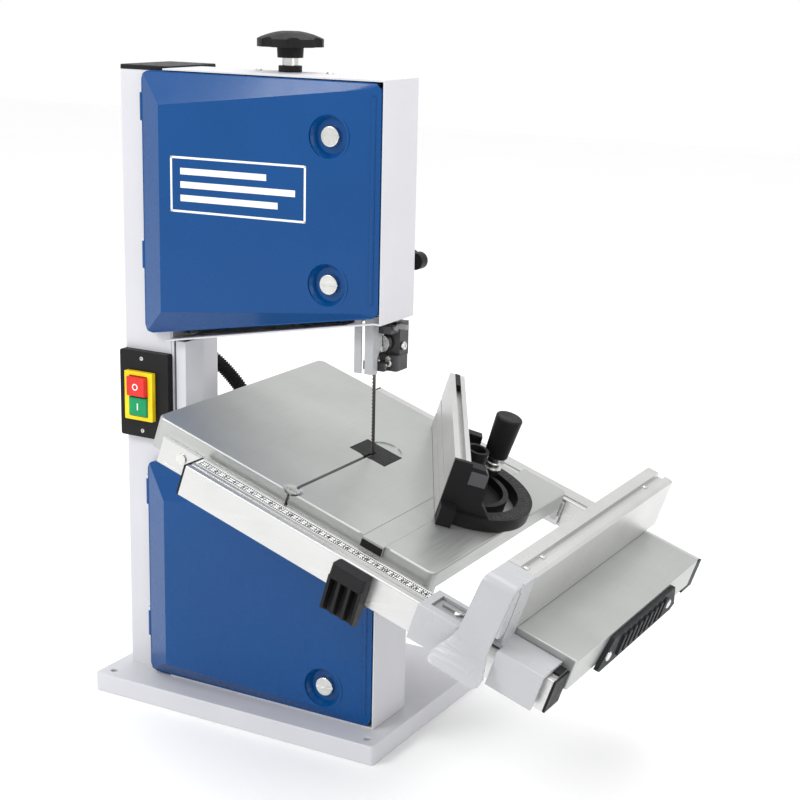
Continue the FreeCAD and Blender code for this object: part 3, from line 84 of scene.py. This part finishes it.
TABLE = Matrix((
    (SLIDE.x, BACK.x, NORMAL.x, CORNER.x),
    (SLIDE.y, BACK.y, NORMAL.y, CORNER.y),
    (SLIDE.z, BACK.z, NORMAL.z, CORNER.z),
    (0, 0, 0, 1)))
MITRE_U, MITRE_V, MITRE_TURN = 239.5, 157.0, math.radians(-59.5)
MITRE = (TABLE @ Matrix.Translation((MITRE_U * MM, MITRE_V * MM, 0))
         @ Matrix.Rotation(MITRE_TURN, 4, "Z"))
FACING = {"X": Matrix.Rotation(math.pi / 2, 4, "Y"), "Y": Matrix.Rotation(-math.pi / 2, 4, "X"),
          "Z": Matrix.Identity(4)}


# ---------------------------------------------------------------- materials

class Look:
    """A node material on one Principled shader, with procedural colour, roughness and bump."""

    def __init__(self, name, color, rough, metal=0.0, coat=0.0, specular=0.5):
        self.material = bpy.data.materials.new(name)
        self.material.use_nodes = True
        self.nodes = self.material.node_tree.nodes
        self.links = self.material.node_tree.links
        self.shader = self.nodes["Principled BSDF"]
        self.shader.inputs["Base Color"].default_value = (*color, 1)
        self.shader.inputs["Roughness"].default_value = rough
        self.shader.inputs["Metallic"].default_value = metal
        self.shader.inputs["Coat Weight"].default_value = coat
        self.shader.inputs["Coat Roughness"].default_value = 0.12
        self.shader.inputs["Specular IOR Level"].default_value = specular
        self.color = color
        self.rough = rough
        self.place = self.nodes.new("ShaderNodeTexCoord").outputs["Object"]
        self.normal = None

    def stretched(self, scale, turn=(0, 0, 0)):
        mapping = self.nodes.new("ShaderNodeMapping")
        mapping.inputs["Scale"].default_value = scale
        mapping.inputs["Rotation"].default_value = turn
        self.links.new(self.place, mapping.inputs["Vector"])
        return mapping.outputs["Vector"]

    def noise(self, scale, detail=2.0, stretch=None, turn=(0, 0, 0)):
        node = self.nodes.new("ShaderNodeTexNoise")
        node.inputs["Scale"].default_value = scale
        node.inputs["Detail"].default_value = detail
        vector = self.place if stretch is None else self.stretched(stretch, turn)
        self.links.new(vector, node.inputs["Vector"])
        return node.outputs["Fac"]

    def spread(self, signal, start, end):
        node = self.nodes.new("ShaderNodeMapRange")
        node.inputs["From Min"].default_value = 0.3
        node.inputs["From Max"].default_value = 0.7
        node.inputs["To Min"].default_value = start
        node.inputs["To Max"].default_value = end
        self.links.new(signal, node.inputs["Value"])
        return node.outputs["Result"]

    def tint(self, signal, amount):
        """Vary the colour a little each way."""
        ramp = self.nodes.new("ShaderNodeValToRGB")
        ramp.color_ramp.elements[0].position = 0.3
        ramp.color_ramp.elements[1].position = 0.7
        ramp.color_ramp.elements[0].color = (*[c * (1 - amount) for c in self.color], 1)
        ramp.color_ramp.elements[1].color = (*[min(1, c * (1 + amount)) for c in self.color], 1)
        self.links.new(signal, ramp.inputs["Fac"])
        self.links.new(ramp.outputs["Color"], self.shader.inputs["Base Color"])
        return self

    def vary_rough(self, signal, amount):
        value = self.spread(signal, self.rough - amount, self.rough + amount)
        self.links.new(value, self.shader.inputs["Roughness"])
        return self

    def bump(self, signal, depth_mm):
        node = self.nodes.new("ShaderNodeBump")
        node.inputs["Strength"].default_value = 1.0
        node.inputs["Distance"].default_value = depth_mm * MM
        self.links.new(signal, node.inputs["Height"])
        if self.normal is not None:
            self.links.new(self.normal, node.inputs["Normal"])
        self.normal = node.outputs["Normal"]
        self.links.new(self.normal, self.shader.inputs["Normal"])
        return self


def powder_coat(name, color, rough=0.42):
    look = Look(name, color, rough)
    look.tint(look.noise(14), 0.02)
    look.vary_rough(look.noise(60), 0.05)
    return look.bump(look.noise(900, 3), 0.015)


def enamel(name, color):
    look = Look(name, color, 0.27, coat=0.2, specular=0.15)
    look.tint(look.noise(9), 0.05)
    look.vary_rough(look.noise(45), 0.04)
    look.bump(look.noise(420, 1), 0.018)
    return look.bump(look.noise(26, 1), 0.05)


def moulded(name, color, rough=0.48, grain=0.03):
    look = Look(name, color, rough, specular=0.16)
    look.tint(look.noise(40), 0.10)
    look.vary_rough(look.noise(160), 0.07)
    return look.bump(look.noise(1500, 2), grain)


def ground_casting(name, color, along=(1, 0, 0), rough=0.36, metal=0.85):
    """A fine-ground or anodised aluminium face with faint grinding lines."""
    stretch = tuple(25.0 if axis else 900.0 for axis in along)
    look = Look(name, color, rough, metal=metal)
    look.tint(look.noise(18, 3), 0.05)
    look.vary_rough(look.noise(1.0, 2, stretch), 0.06)
    look.bump(look.noise(1.0, 2, stretch), 0.012)
    return look.bump(look.noise(1100, 2), 0.010)


def rough_casting(name, color, rough=0.5, metal=0.7):
    look = Look(name, color, rough, metal=metal)
    look.tint(look.noise(35, 3), 0.10)
    look.vary_rough(look.noise(110), 0.08)
    return look.bump(look.noise(700, 4), 0.06)


def plated(name, color, rough=0.28):
    look = Look(name, color, rough, metal=1.0)
    look.tint(look.noise(120, 2), 0.08)
    look.vary_rough(look.noise(400, 2), 0.07)
    return look.bump(look.noise(1300, 2), 0.008)


PAINT = powder_coat("frame_paint_look", (0.57, 0.57, 0.60))
DOOR = enamel("door_paint_look", (0.0005, 0.054, 0.20))
BLACK = moulded("black_plastic_look", (0.010, 0.010, 0.011))
SLATE = moulded("black_soft_look", (0.02, 0.021, 0.023), rough=0.6, grain=0.05)
CAST = ground_casting("ground_table_look", (0.43, 0.44, 0.43), (0, 1, 0), metal=0.7)
EXTRUDED = ground_casting("extruded_look", (0.58, 0.58, 0.575), (1, 0, 0), rough=0.33)
BARE_CAST = rough_casting("bare_casting_look", (0.30, 0.30, 0.305))
GUIDE_CAST = rough_casting("guide_casting_look", (0.055, 0.055, 0.058), rough=0.42, metal=0.55)
SILVER = powder_coat("silver_paint_look", (0.40, 0.405, 0.42), rough=0.3)
STEEL = plated("zinc_look", (0.62, 0.62, 0.60))
IRON = rough_casting("iron_look", (0.16, 0.165, 0.17))
RUBBER = moulded("rubber_look", (0.012, 0.012, 0.012), rough=0.75, grain=0.06)
BLADE = plated("blade_look", (0.10, 0.095, 0.09), rough=0.38)
MOTOR = powder_coat("motor_look", (0.06, 0.063, 0.07))
RED = moulded("red_look", (0.62, 0.035, 0.03), rough=0.3, grain=0.008)
GREEN = moulded("green_look", (0.01, 0.27, 0.10), rough=0.3, grain=0.008)
YELLOW = moulded("yellow_look", (0.86, 0.60, 0.015), rough=0.33, grain=0.01)
WHITE = moulded("print_white_look", (0.80, 0.80, 0.79), rough=0.4, grain=0.003)
INK = moulded("print_black_look", (0.012, 0.012, 0.012), rough=0.5, grain=0.003)
GREY = moulded("label_grey_look", (0.085, 0.085, 0.09), rough=0.4, grain=0.004)

NODE_LOOKS = {
    PAINT: ("base_plate", "column", "blade_channel", "upper_housing", "lower_housing",
            "trunnion_base", "hinge_pins"),
    DOOR: ("upper_door", "lower_door"),
    BLACK: ("column_cap", "tension_collar", "switch_box", "table_insert", "rail_caps",
            "tension_knob", "tracking_knob", "post_knob", "tilt_knob", "motor_fan_cover",
            "mitre_head", "mitre_handle", "push_stick_holder"),
    SLATE: ("extension_grip",),
    CAST: ("table", "extension_table", "mitre_bar"),
    EXTRUDED: ("front_rail", "rear_rail", "rail_brackets", "rip_fence", "mitre_fence"),
    BARE_CAST: ("inner_brackets", "axle_block", "tilt_segment"),
    GUIDE_CAST: ("guide_bracket",),
    SILVER: ("fence_carriage", "fence_lever", "blade_guard"),
    STEEL: ("upper_door_latch_1", "upper_door_latch_2", "lower_door_latch_1", "tension_screw",
            "motor_shaft", "lower_bearing", "guide_post", "guide_pins", "guide_bearing",
            "table_screws", "tension_spring"),
    IRON: ("upper_wheel", "lower_wheel"),
    RUBBER: ("upper_tyre", "lower_tyre", "motor_lead"),
    BLADE: ("blade",),
    MOTOR: ("motor",),
    RED: ("off_button",),
    GREEN: ("on_button",),
    YELLOW: ("switch_frame",),
    WHITE: ("ruler",),
}


def dress_nodes():
    for look, names in NODE_LOOKS.items():
        for name in names:
            piece = frame["nodes"][name]
            piece.data.materials.clear()
            piece.data.materials.append(look.material)


# ---------------------------------------------------------------- mesh helpers

def finish_piece(name, mesh, look, body, bevel=0.0, segments=2, smooth=True):
    """A finished piece: bevelled, smooth by angle, with its material, riding its body."""
    data = bpy.data.meshes.new(name)
    bmesh.ops.recalc_face_normals(mesh, faces=mesh.faces)
    mesh.to_mesh(data)
    mesh.free()
    piece = bpy.data.objects.new(name, data)
    bpy.context.scene.collection.objects.link(piece)
    data.materials.append(look.material)
    if smooth:
        for face in data.polygons:
            face.use_smooth = True
    if bevel:
        modifier = piece.modifiers.new("edges", "BEVEL")
        modifier.width = bevel * MM
        modifier.segments = segments
        modifier.limit_method = "ANGLE"
        modifier.angle_limit = math.radians(35)
        modifier.harden_normals = True
    if smooth:
        data.set_sharp_from_angle(angle=math.radians(32))
    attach(piece, body)
    return piece


def add_box(mesh, size, at, frame_of=None):
    """A box from its lowest corner, in millimetres, in a given frame."""
    where = frame_of or Matrix.Identity(4)
    centre = Vector([(a + s / 2) * MM for a, s in zip(at, size)])
    scale = Matrix.Diagonal((*[s * MM for s in size], 1))
    bmesh.ops.create_cube(mesh, size=1, matrix=where @ Matrix.Translation(centre) @ scale)


def add_tube(mesh, radius, length, at, frame_of=None, axis="Z", sides=32, tip=None):
    """A cylinder or cone from the centre of its first end, in millimetres."""
    where = frame_of or Matrix.Identity(4)
    place = where @ Matrix.Translation(Vector(at) * MM) @ FACING[axis]
    place = place @ Matrix.Translation((0, 0, length * MM / 2))
    bmesh.ops.create_cone(mesh, segments=sides, radius1=radius * MM,
                          radius2=(radius if tip is None else tip) * MM, depth=length * MM,
                          cap_ends=True, matrix=place)


def add_skin(mesh, rows, closed=False):
    """Faces between rows of points, round each row; open ends are capped unless it is closed."""
    pairs = list(zip(rows, rows[1:])) + ([(rows[-1], rows[0])] if closed else [])
    for one, two in pairs:
        for i in range(len(one)):
            j = (i + 1) % len(one)
            mesh.faces.new((one[i], one[j], two[j], two[i]))
    if not closed:
        mesh.faces.new(rows[0])
        mesh.faces.new(rows[-1][::-1])


def add_ring(mesh, outline, at, frame_of=None, axis="Z", sides=48):
    """A turned piece: the outline is (radius, height) points, closed, in millimetres."""
    where = frame_of or Matrix.Identity(4)
    place = where @ Matrix.Translation(Vector(at) * MM) @ FACING[axis]
    rings = []
    for step in range(sides):
        angle = 2 * math.pi * step / sides
        rings.append([mesh.verts.new(place @ Vector((r * MM * math.cos(angle),
                                                     r * MM * math.sin(angle), z * MM)))
                      for r, z in outline])
    add_skin(mesh, rings, closed=True)


def add_prism(mesh, outline, start, depth, frame_of=None, axis="X"):
    """An outline of (a, b) points pushed along an axis, in millimetres."""
    where = frame_of or Matrix.Identity(4)
    place = {"X": lambda a, b, c: (c, a, b), "Y": lambda a, b, c: (a, c, b),
             "Z": lambda a, b, c: (a, b, c)}[axis]
    ends = [[mesh.verts.new(where @ (Vector(place(a, b, c)) * MM)) for a, b in outline]
            for c in (start, start + depth)]
    mesh.faces.new(ends[0])
    mesh.faces.new(ends[1][::-1])
    for i in range(len(outline)):
        j = (i + 1) % len(outline)
        mesh.faces.new((ends[0][i], ends[0][j], ends[1][j], ends[1][i]))


def add_screw(mesh, radius, at, frame_of=None, axis="Z", height=2.0, flip=False):
    """A button-headed screw with a round recess, its head standing along the axis."""
    sign = -1 if flip else 1
    profile = [(0.001, 0), (radius, 0), (radius, 0.45 * height * sign),
               (0.8 * radius, 0.85 * height * sign), (0.5 * radius, height * sign),
               (0.34 * radius, height * sign), (0.22 * radius, 0.45 * height * sign),
               (0.001, 0.4 * height * sign)]
    add_ring(mesh, profile, at, frame_of, axis, 24)


# ---------------------------------------------------------------- badge, switch and scales

def door_frame():
    """Axes on the upper door's sloping panel: x across, y up, z outward."""
    panel_run, panel_rise = 218.0, 14.3
    across = Vector((panel_run, panel_rise, 0)).normalized()
    up = Vector((0, 0, 1))
    outward = across.cross(up)
    start = Vector((-86.5 * MM, -102.7 * MM, 399.5 * MM))
    return Matrix(((across.x, up.x, outward.x, start.x), (across.y, up.y, outward.y, start.y),
                   (across.z, up.z, outward.z, start.z), (0, 0, 0, 1)))


def make_badge():
    """A generic badge: an outlined panel with plain stripes."""
    mesh = bmesh.new()
    panel = door_frame()
    left, bottom, wide, tall, line, thick = 13.0, 100.0, 144.0, 52.0, 2.0, 0.25
    for size, at in (((wide, line, thick), (left, bottom, 0.05)),
                     ((wide, line, thick), (left, bottom + tall - line, 0.05)),
                     ((line, tall, thick), (left, bottom, 0.05)),
                     ((line, tall, thick), (left + wide - line, bottom, 0.05))):
        add_box(mesh, size, at, panel)
    for row, length in enumerate((104.0, 122.0, 92.0)):
        add_box(mesh, (length, 6.0, thick), (left + 11, bottom + 10.5 + 12.5 * row, 0.05), panel)
    finish_piece("door_badge", mesh, WHITE, "upper_door", smooth=False)


def make_switch_marks():
    """A line on the start button, a ring on the stop button, and the box's screws."""
    for name, node, body in (("on_mark", "on_button", "on_button"),
                             ("off_mark", "off_button", "off_button")):
        mesh = bmesh.new()
        centre = (low(node) + high(node)) / 2 / MM
        front = low(node).y / MM
        if name == "on_mark":
            add_box(mesh, (1.3, 0.2, 7), (centre.x - 0.65, front - 0.15, centre.z - 3.5))
        else:
            add_ring(mesh, [(3.4, 0), (3.4, 0.2), (2.3, 0.2), (2.3, 0)],
                     (centre.x, front - 0.15, centre.z), axis="Y", sides=32)
        finish_piece(name, mesh, WHITE, body, smooth=False)
    mesh = bmesh.new()
    front = low("switch_box").y / MM
    for z in (347.6, 274.0):
        add_screw(mesh, 2.4, (-124.9, front + 1.2, z), axis="Y", height=1.6, flip=True)
    finish_piece("switch_screws", mesh, STEEL, "frame")


def make_ruler_marks():
    """Two rows of tick marks and numbers, and a black strip at the rail's end, painted shade where
    its open T-slot shows dark.
    """
    mesh = bmesh.new()
    top, first, pitch = -10.1, 66.0, 2.0
    for step in range(122):
        u = first + pitch * step
        reach = 3.6 if step % 5 == 0 else 1.8
        add_box(mesh, (0.7, reach, 0.12), (u, -20.6, top), TABLE)
        add_box(mesh, (0.7, reach, 0.12), (u, -12.0 - reach, top), TABLE)
    for v in (-20.9, -16.5, -12.0):
        add_box(mesh, (244, 0.5, 0.12), (65, v, top), TABLE)
    finish_piece("ruler_ticks", mesh, INK, "extension", smooth=False)
    for step in range(1, 25):
        text = bpy.data.curves.new("scale_number_%d" % step, "FONT")
        text.body = str(step)
        text.size = 6.4 * MM
        text.offset = 0.08 * MM
        text.extrude = 0.06 * MM
        text.align_x = "CENTER"
        number = bpy.data.objects.new("scale_number_%d" % step, text)
        bpy.context.scene.collection.objects.link(number)
        number.matrix_world = TABLE @ Matrix.Translation((
            (first - 3.0 + 5 * pitch * step) * MM, -18.6 * MM, (top + 0.08) * MM))
        text.materials.append(INK.material)
        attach(number, "extension")
    # Painted shade: a black strip standing for the dark open T-slot at the rail's end.
    strip = bmesh.new()
    add_box(strip, (14, 14.5, 1.9), (422.5, -21.6, -11.0), TABLE)
    finish_piece("rail_slot_shade_strip", strip, BLACK, "extension", bevel=0.3)


# ---------------------------------------------------------------- sleeve, spring and blade

def smooth_route():
    """The sleeve's centre line: one NURBS through the places where it is held."""
    start = Vector((-122, 5.5, 340))
    end_at = Vector((WHEEL_X - 48.5, 27.1, LOWER_HUB.z + 48.5))
    route = [start, Vector((-117, 16, 336)), Vector((-98, 20, 321)), Vector((-77, 23, 299)),
             Vector((-61, 26, 262)), Vector((-51, 27, 222)), end_at]
    curve = bpy.data.curves.new("sleeve_line", "CURVE")
    curve.dimensions = "3D"
    spline = curve.splines.new("NURBS")
    spline.points.add(len(route) - 1)
    for point, at in zip(spline.points, route):
        point.co = (*(at * MM), 1)
    spline.order_u = 3
    spline.use_endpoint_u = True
    spline.resolution_u = 40
    holder = bpy.data.objects.new("sleeve_line", curve)
    bpy.context.scene.collection.objects.link(holder)
    mesh = bpy.data.meshes.new_from_object(holder)
    line = [v.co.copy() for v in mesh.vertices]
    bpy.data.objects.remove(holder)
    bpy.data.curves.remove(curve)
    return line


def make_sleeve():
    """Corrugated sleeve of the motor's lead: rings of two radii along the line."""
    line = smooth_route()
    lengths = [0.0]
    for one, two in zip(line, line[1:]):
        lengths.append(lengths[-1] + (two - one).length)
    pitch, crest, valley, sides = 2.6 * MM, 7.5 * MM, 6.3 * MM, 20
    steps = int(lengths[-1] / pitch) * 4
    mesh = bmesh.new()
    rings = []
    index = 0
    side = Vector((0, 1, 0))
    for step in range(steps + 1):
        distance = lengths[-1] * step / steps
        while index < len(line) - 2 and lengths[index + 1] < distance:
            index += 1
        share = (distance - lengths[index]) / max(1e-9, lengths[index + 1] - lengths[index])
        centre = line[index].lerp(line[index + 1], share)
        along = (line[index + 1] - line[index]).normalized()
        side = (side - along * side.dot(along)).normalized()
        other = along.cross(side)
        radius = crest if step % 4 in (1, 2) else valley
        rings.append([mesh.verts.new(centre + side * radius * math.cos(a) + other * radius
                                     * math.sin(a))
                      for a in [2 * math.pi * i / sides for i in range(sides)]])
    add_skin(mesh, rings)
    sleeve = finish_piece("motor_sleeve", mesh, RUBBER, "frame")
    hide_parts("motor_lead")


def make_spring():
    """Coil spring between the axle block and the bridge above it."""
    bottom, top = low("tension_spring"), high("tension_spring")
    centre = (bottom + top) / 2
    mesh = bmesh.new()
    turns, sides, radius, wire = 4.5, 10, 6.6 * MM, 1.2 * MM
    steps = int(turns * 24)
    rings = []
    for step in range(steps + 1):
        angle = 2 * math.pi * turns * step / steps
        height = bottom.z + wire + (top.z - bottom.z - 2 * wire) * step / steps
        radial = Vector((math.cos(angle), math.sin(angle), 0))
        at = Vector((centre.x, centre.y, height)) + radial * radius
        rings.append([mesh.verts.new(at + radial * wire * math.cos(a)
                                     + Vector((0, 0, wire * math.sin(a))))
                      for a in [2 * math.pi * i / sides for i in range(sides)]])
    add_skin(mesh, rings)
    spring = finish_piece("coil_spring", mesh, STEEL, "axle")
    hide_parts("tension_spring")


def make_blade():
    """The endless toothed band."""
    inner = 106.0
    thick, back, gullet, tip = 0.5, -52.5, -56.9, -58.5
    upper, lower = UPPER_HUB.z, LOWER_HUB.z
    strand = upper - lower
    half_turn = math.pi * (inner + thick / 2)
    total = 2 * (strand + half_turn)
    pitch = 3.4
    count = 2 * int(total / pitch / 2)

    def at(distance, offset):
        radius = inner + offset
        if distance < strand:
            return WHEEL_X + radius, lower + distance
        distance -= strand
        if distance < half_turn:
            angle = distance / (inner + thick / 2)
            return WHEEL_X + radius * math.cos(angle), upper + radius * math.sin(angle)
        distance -= half_turn
        if distance < strand:
            return WHEEL_X - radius, upper - distance
        angle = math.pi + (distance - strand) / (inner + thick / 2)
        return WHEEL_X + radius * math.cos(angle), lower + radius * math.sin(angle)

    mesh = bmesh.new()
    rows = []
    for step in range(2 * count):
        distance = total * step / (2 * count)
        edge = tip if step % 2 else gullet
        row = []
        for offset, y in ((0.05, back), (0.05, edge), (0.55, edge), (0.55, back)):
            x, z = at(distance, offset)
            row.append(mesh.verts.new(Vector((x, y, z)) * MM))
        rows.append(row)
    add_skin(mesh, rows, closed=True)
    blade = finish_piece("toothed_blade", mesh, BLADE, "frame", smooth=False)
    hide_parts("blade")


# ---------------------------------------------------------------- fence, grip and mitre detail

def make_fence_details():
    """Screws in the rip fence's slot, and the clamp plate and bolt in the carriage's window."""
    slot_floor, plate_low, plate_thick = 45.7, -9.6, 0.8
    plate_top = plate_low + plate_thick
    mesh = bmesh.new()
    for v in (4.3, 35.6, 267.0):
        add_screw(mesh, 3.6, (370.5, v, slot_floor), TABLE, height=1.8)
    add_screw(mesh, 3.4, (339.0, -22.0, plate_top), TABLE, height=2.4)
    finish_piece("fence_screws", mesh, STEEL, "fence")
    plate = bmesh.new()
    add_box(plate, (31, 22, plate_thick), (318.5, -33.5, plate_low), TABLE)
    add_box(plate, (20, 3, 2.0), (324, -22, plate_top), TABLE)
    finish_piece("fence_clamp_plate", plate, BARE_CAST, "fence", bevel=0.2)


LEVER_STATIONS = (
    # v and height of the outer face, then its left and right edges
    (-31.9, 50.6, 357.2, 385.2), (-37.0, 50.6, 357.0, 385.2), (-40.6, 50.0, 356.6, 385.1),
    (-43.6, 48.5, 356.2, 385.0), (-45.8, 46.2, 355.8, 384.9), (-47.0, 43.2, 355.4, 384.7),
    (-47.3, 38.0, 355.0, 384.4), (-47.4, 20.0, 353.8, 383.6), (-47.4, 4.0, 352.6, 382.8),
    (-47.6, -6.0, 351.4, 382.4), (-48.6, -12.0, 349.4, 382.8), (-50.8, -17.0, 346.6, 384.4),
    (-54.0, -21.2, 343.4, 386.8), (-58.0, -25.2, 341.0, 388.8), (-61.8, -29.0, 340.4, 389.6),
    (-64.6, -31.8, 341.6, 389.0), (-66.4, -33.6, 344.6, 386.6))


def lever_ribs(height):
    """Bulge of the three ribs on the lever's foot."""
    return sum(0.9 * math.exp(-((height - at) / 1.1) ** 2) for at in (-19.0, -23.6, -28.2))


def make_lever():
    """Arched clamp lever: a strap that flares into a ribbed foot, with a cheek each side."""
    fine = []
    for one, two in zip(LEVER_STATIONS, LEVER_STATIONS[1:]):
        steps = 6 if two[1] < -12 else 2
        for step in range(steps):
            share = step / steps
            fine.append([a + (b - a) * share for a, b in zip(one, two)])
    fine.append(list(LEVER_STATIONS[-1]))
    mesh = bmesh.new()
    rows = []
    for index, (v, h, left, right) in enumerate(fine):
        ahead = fine[min(index + 1, len(fine) - 1)]
        behind = fine[max(index - 1, 0)]
        along = Vector((ahead[0] - behind[0], ahead[1] - behind[1])).normalized()
        out = Vector((along.y, -along.x))
        thick = 3.4 if h > -16 else 4.6
        lift = lever_ribs(h)
        outer = [(left + 0.9, -0.5), (left + 3.5, lift), ((left + right) / 2, lift * 1.05),
                 (right - 3.5, lift), (right - 0.9, -0.5)]
        inner = [(right, -1.4), (right - 0.4, -thick), ((left + right) / 2, -thick),
                 (left + 0.4, -thick), (left, -1.4)]
        rows.append([mesh.verts.new(on_table(u, v + out.x * s, h + out.y * s))
                     for u, s in outer + inner])
    add_skin(mesh, rows)
    side = [(-32.2, 49.0), (-37.0, 48.8), (-43.4, 45.2), (-45.4, 38.0), (-45.6, 4.0),
            (-40.0, 2.0), (-32.2, 6.0)]
    add_prism(mesh, side, 357.4, 2.4, TABLE)
    add_prism(mesh, side, 382.4, 2.4, TABLE)
    add_tube(mesh, 2.6, 28.8, (356.9, -33.8, 46.6), TABLE, "X", 20)
    lever = finish_piece("arched_lever", mesh, SILVER, "fence_lever")
    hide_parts("fence_lever")


def make_grip_screws():
    """The two screws that hold the extension table's grip."""
    mesh = bmesh.new()
    for v in (64.6, 207.0):
        add_screw(mesh, 4.6, (446.4, v, -20), TABLE, axis="X", height=2.2)
    finish_piece("grip_screws", mesh, STEEL, "extension")


def make_mitre_details():
    """Scale ticks, label, insert in the fence's slot, clamp nut, and a black piece at the bar's
    end: partly its plastic insert, partly painted shade under the bar in the slot.
    """
    mesh = bmesh.new()
    for step in range(-13, 14):
        mark = MITRE @ Matrix.Rotation(math.radians(90 + 5 * step), 4, "Z")
        inner = 59.5 if step % 2 else 57.5
        add_box(mesh, (63.5 - inner, 0.5, 0.12), (inner, -0.25, 12.57), mark)
    finish_piece("mitre_ticks", mesh, GREY, "mitre_head", smooth=False)
    label = bmesh.new()
    add_box(label, (0.3, 16, 13), (62.0, -8.2, 40.4), MITRE)
    finish_piece("mitre_label", label, GREY, "mitre_head", bevel=0.1)
    strip = bmesh.new()
    add_box(strip, (28, 4.8, 6.4), (-138.4, -20.1, 53.5), MITRE)
    finish_piece("mitre_fence_insert", strip, BLACK, "mitre_head", bevel=0.3)
    nut = bmesh.new()
    add_ring(nut, [(5.6, 17.0), (9.6, 17.0), (9.6, 18.6), (7.0, 19.0), (7.0, 23.0), (6.2, 24.0),
                   (6.2, 29.6), (5.6, 29.6)], (-39.7, 26.8, 0), MITRE, sides=12)
    finish_piece("mitre_clamp_nut", nut, STEEL, "mitre_handle", bevel=0.2)
    # Black piece across the slot's front: the bar's plastic insert, and also painted shade under
    # the bar.
    end = bmesh.new()
    add_box(end, (21.4, 0.8, 7.0), (228.8, -3.2, -9.3), TABLE)
    finish_piece("mitre_bar_end_and_shade", end, BLACK, "mitre_bar", bevel=0.3)


def make_guide_details():
    """Guard arm, bearing face, set screws and clamp bolts of the upper guide."""
    base = low("blade_guard").z / MM
    x, y = 131.5, -34.5
    mesh = bmesh.new()
    for at_x in (x - 8, x + 4):
        add_ring(mesh, [(1.5, 0), (3.6, 0), (3.6, -2.2), (3.0, -2.8), (1.5, -2.8)],
                 (at_x, y - 15.2, base + 8.5), axis="Y", sides=20)
    add_tube(mesh, 2.6, 9, (BLADE_X - 7, -56.5, base + 6), None, "X", 20)
    add_screw(mesh, 4.2, (x + 12.4, y - 4, base + 24), axis="X", height=2.4)
    finish_piece("guide_screws", mesh, STEEL, "guide")
    arm = bmesh.new()
    add_box(arm, (16, 5, 4.6), (x - 1, y - 22, base + 41))
    add_box(arm, (12, 5, 4.6), (x + 13, y - 21, base + 42.6))
    finish_piece("guide_arm", arm, BARE_CAST, "guide", bevel=1.2)


def make_frame_screws():
    """Screws on the back and the top of the upper housing, and on the lower housing's back."""
    mesh = bmesh.new()
    rear = high("upper_housing").y / MM
    for x, z in ((-70, 420), (-70, 600), (120, 500), (120, 600), (-70, 225), (120, 60), (-70, 45)):
        add_screw(mesh, 4.6, (x, rear, z), axis="Y", height=2.4)
    top = high("upper_housing").z / MM
    for x, y in ((-16, -40), (62, -40)):
        add_screw(mesh, 3.4, (x, y, top), height=1.8)
    finish_piece("frame_screws", mesh, STEEL, "frame")


# ---------------------------------------------------------------- stage, light and camera

def make_stage():
    """A white floor and an even white surround."""
    mesh = bmesh.new()
    reach = 6.0
    corners = [mesh.verts.new((x, y, -0.0004)) for x, y in
               ((-reach, -reach), (reach, -reach), (reach, reach), (-reach, reach))]
    mesh.faces.new(corners)
    data = bpy.data.meshes.new("floor")
    mesh.to_mesh(data)
    mesh.free()
    floor = bpy.data.objects.new("floor", data)
    bpy.context.scene.collection.objects.link(floor)
    look = Look("floor_look", (0.975, 0.975, 0.975), 0.6)
    look.tint(look.noise(3), 0.004)
    data.materials.append(look.material)
    world = bpy.data.worlds.new("studio")
    bpy.context.scene.world = world
    world.use_nodes = True
    background = world.node_tree.nodes["Background"]
    background.inputs["Color"].default_value = (1, 1, 1, 1)
    background.inputs["Strength"].default_value = 1.0


def add_light(name, at, toward, size, power):
    data = bpy.data.lights.new(name, "AREA")
    data.shape = "RECTANGLE"
    data.size, data.size_y = size
    data.energy = power
    lamp = bpy.data.objects.new(name, data)
    lamp.location = at
    lamp.rotation_euler = (Vector(toward) - Vector(at)).to_track_quat("-Z", "Y").to_euler()
    bpy.context.scene.collection.objects.link(lamp)


def make_lights():
    middle = (0.05, 0, 0.35)
    add_light("key", (-1.1, -1.9, 2.1), middle, (1.0, 0.8), 31)
    add_light("fill", (2.2, -0.6, 1.2), middle, (1.2, 1.6), 10)
    add_light("top", (0.2, 0.5, 2.4), middle, (1.8, 1.4), 22)


def make_camera():
    turn, pitch, roll = math.radians(28.98), math.radians(14.24), math.radians(1.24)
    forward = Vector((-math.sin(turn) * math.cos(pitch), math.cos(turn) * math.cos(pitch),
                      -math.sin(pitch)))
    level = Vector((math.cos(turn), math.sin(turn), 0))
    upright = level.cross(forward)
    right = level * math.cos(roll) + upright * math.sin(roll)
    up = upright * math.cos(roll) - level * math.sin(roll)
    data = bpy.data.cameras.new("camera")
    data.sensor_width = 36
    data.lens = 74.64
    data.clip_end = 50
    camera = bpy.data.objects.new("camera", data)
    at = Vector((0.87015, -1.3538, 0.7154))
    camera.matrix_world = Matrix((
        (right.x, up.x, -forward.x, at.x), (right.y, up.y, -forward.y, at.y),
        (right.z, up.z, -forward.z, at.z), (0, 0, 0, 1)))
    bpy.context.scene.collection.objects.link(camera)
    bpy.context.scene.camera = camera


bpy.context.scene.view_settings.view_transform = "Standard"
make_camera()
make_lights()
make_stage()
dress_nodes()
make_sleeve()
make_spring()
make_blade()
make_badge()
make_switch_marks()
make_ruler_marks()
make_fence_details()
make_grip_screws()
make_lever()
make_mitre_details()
make_guide_details()
make_frame_screws()
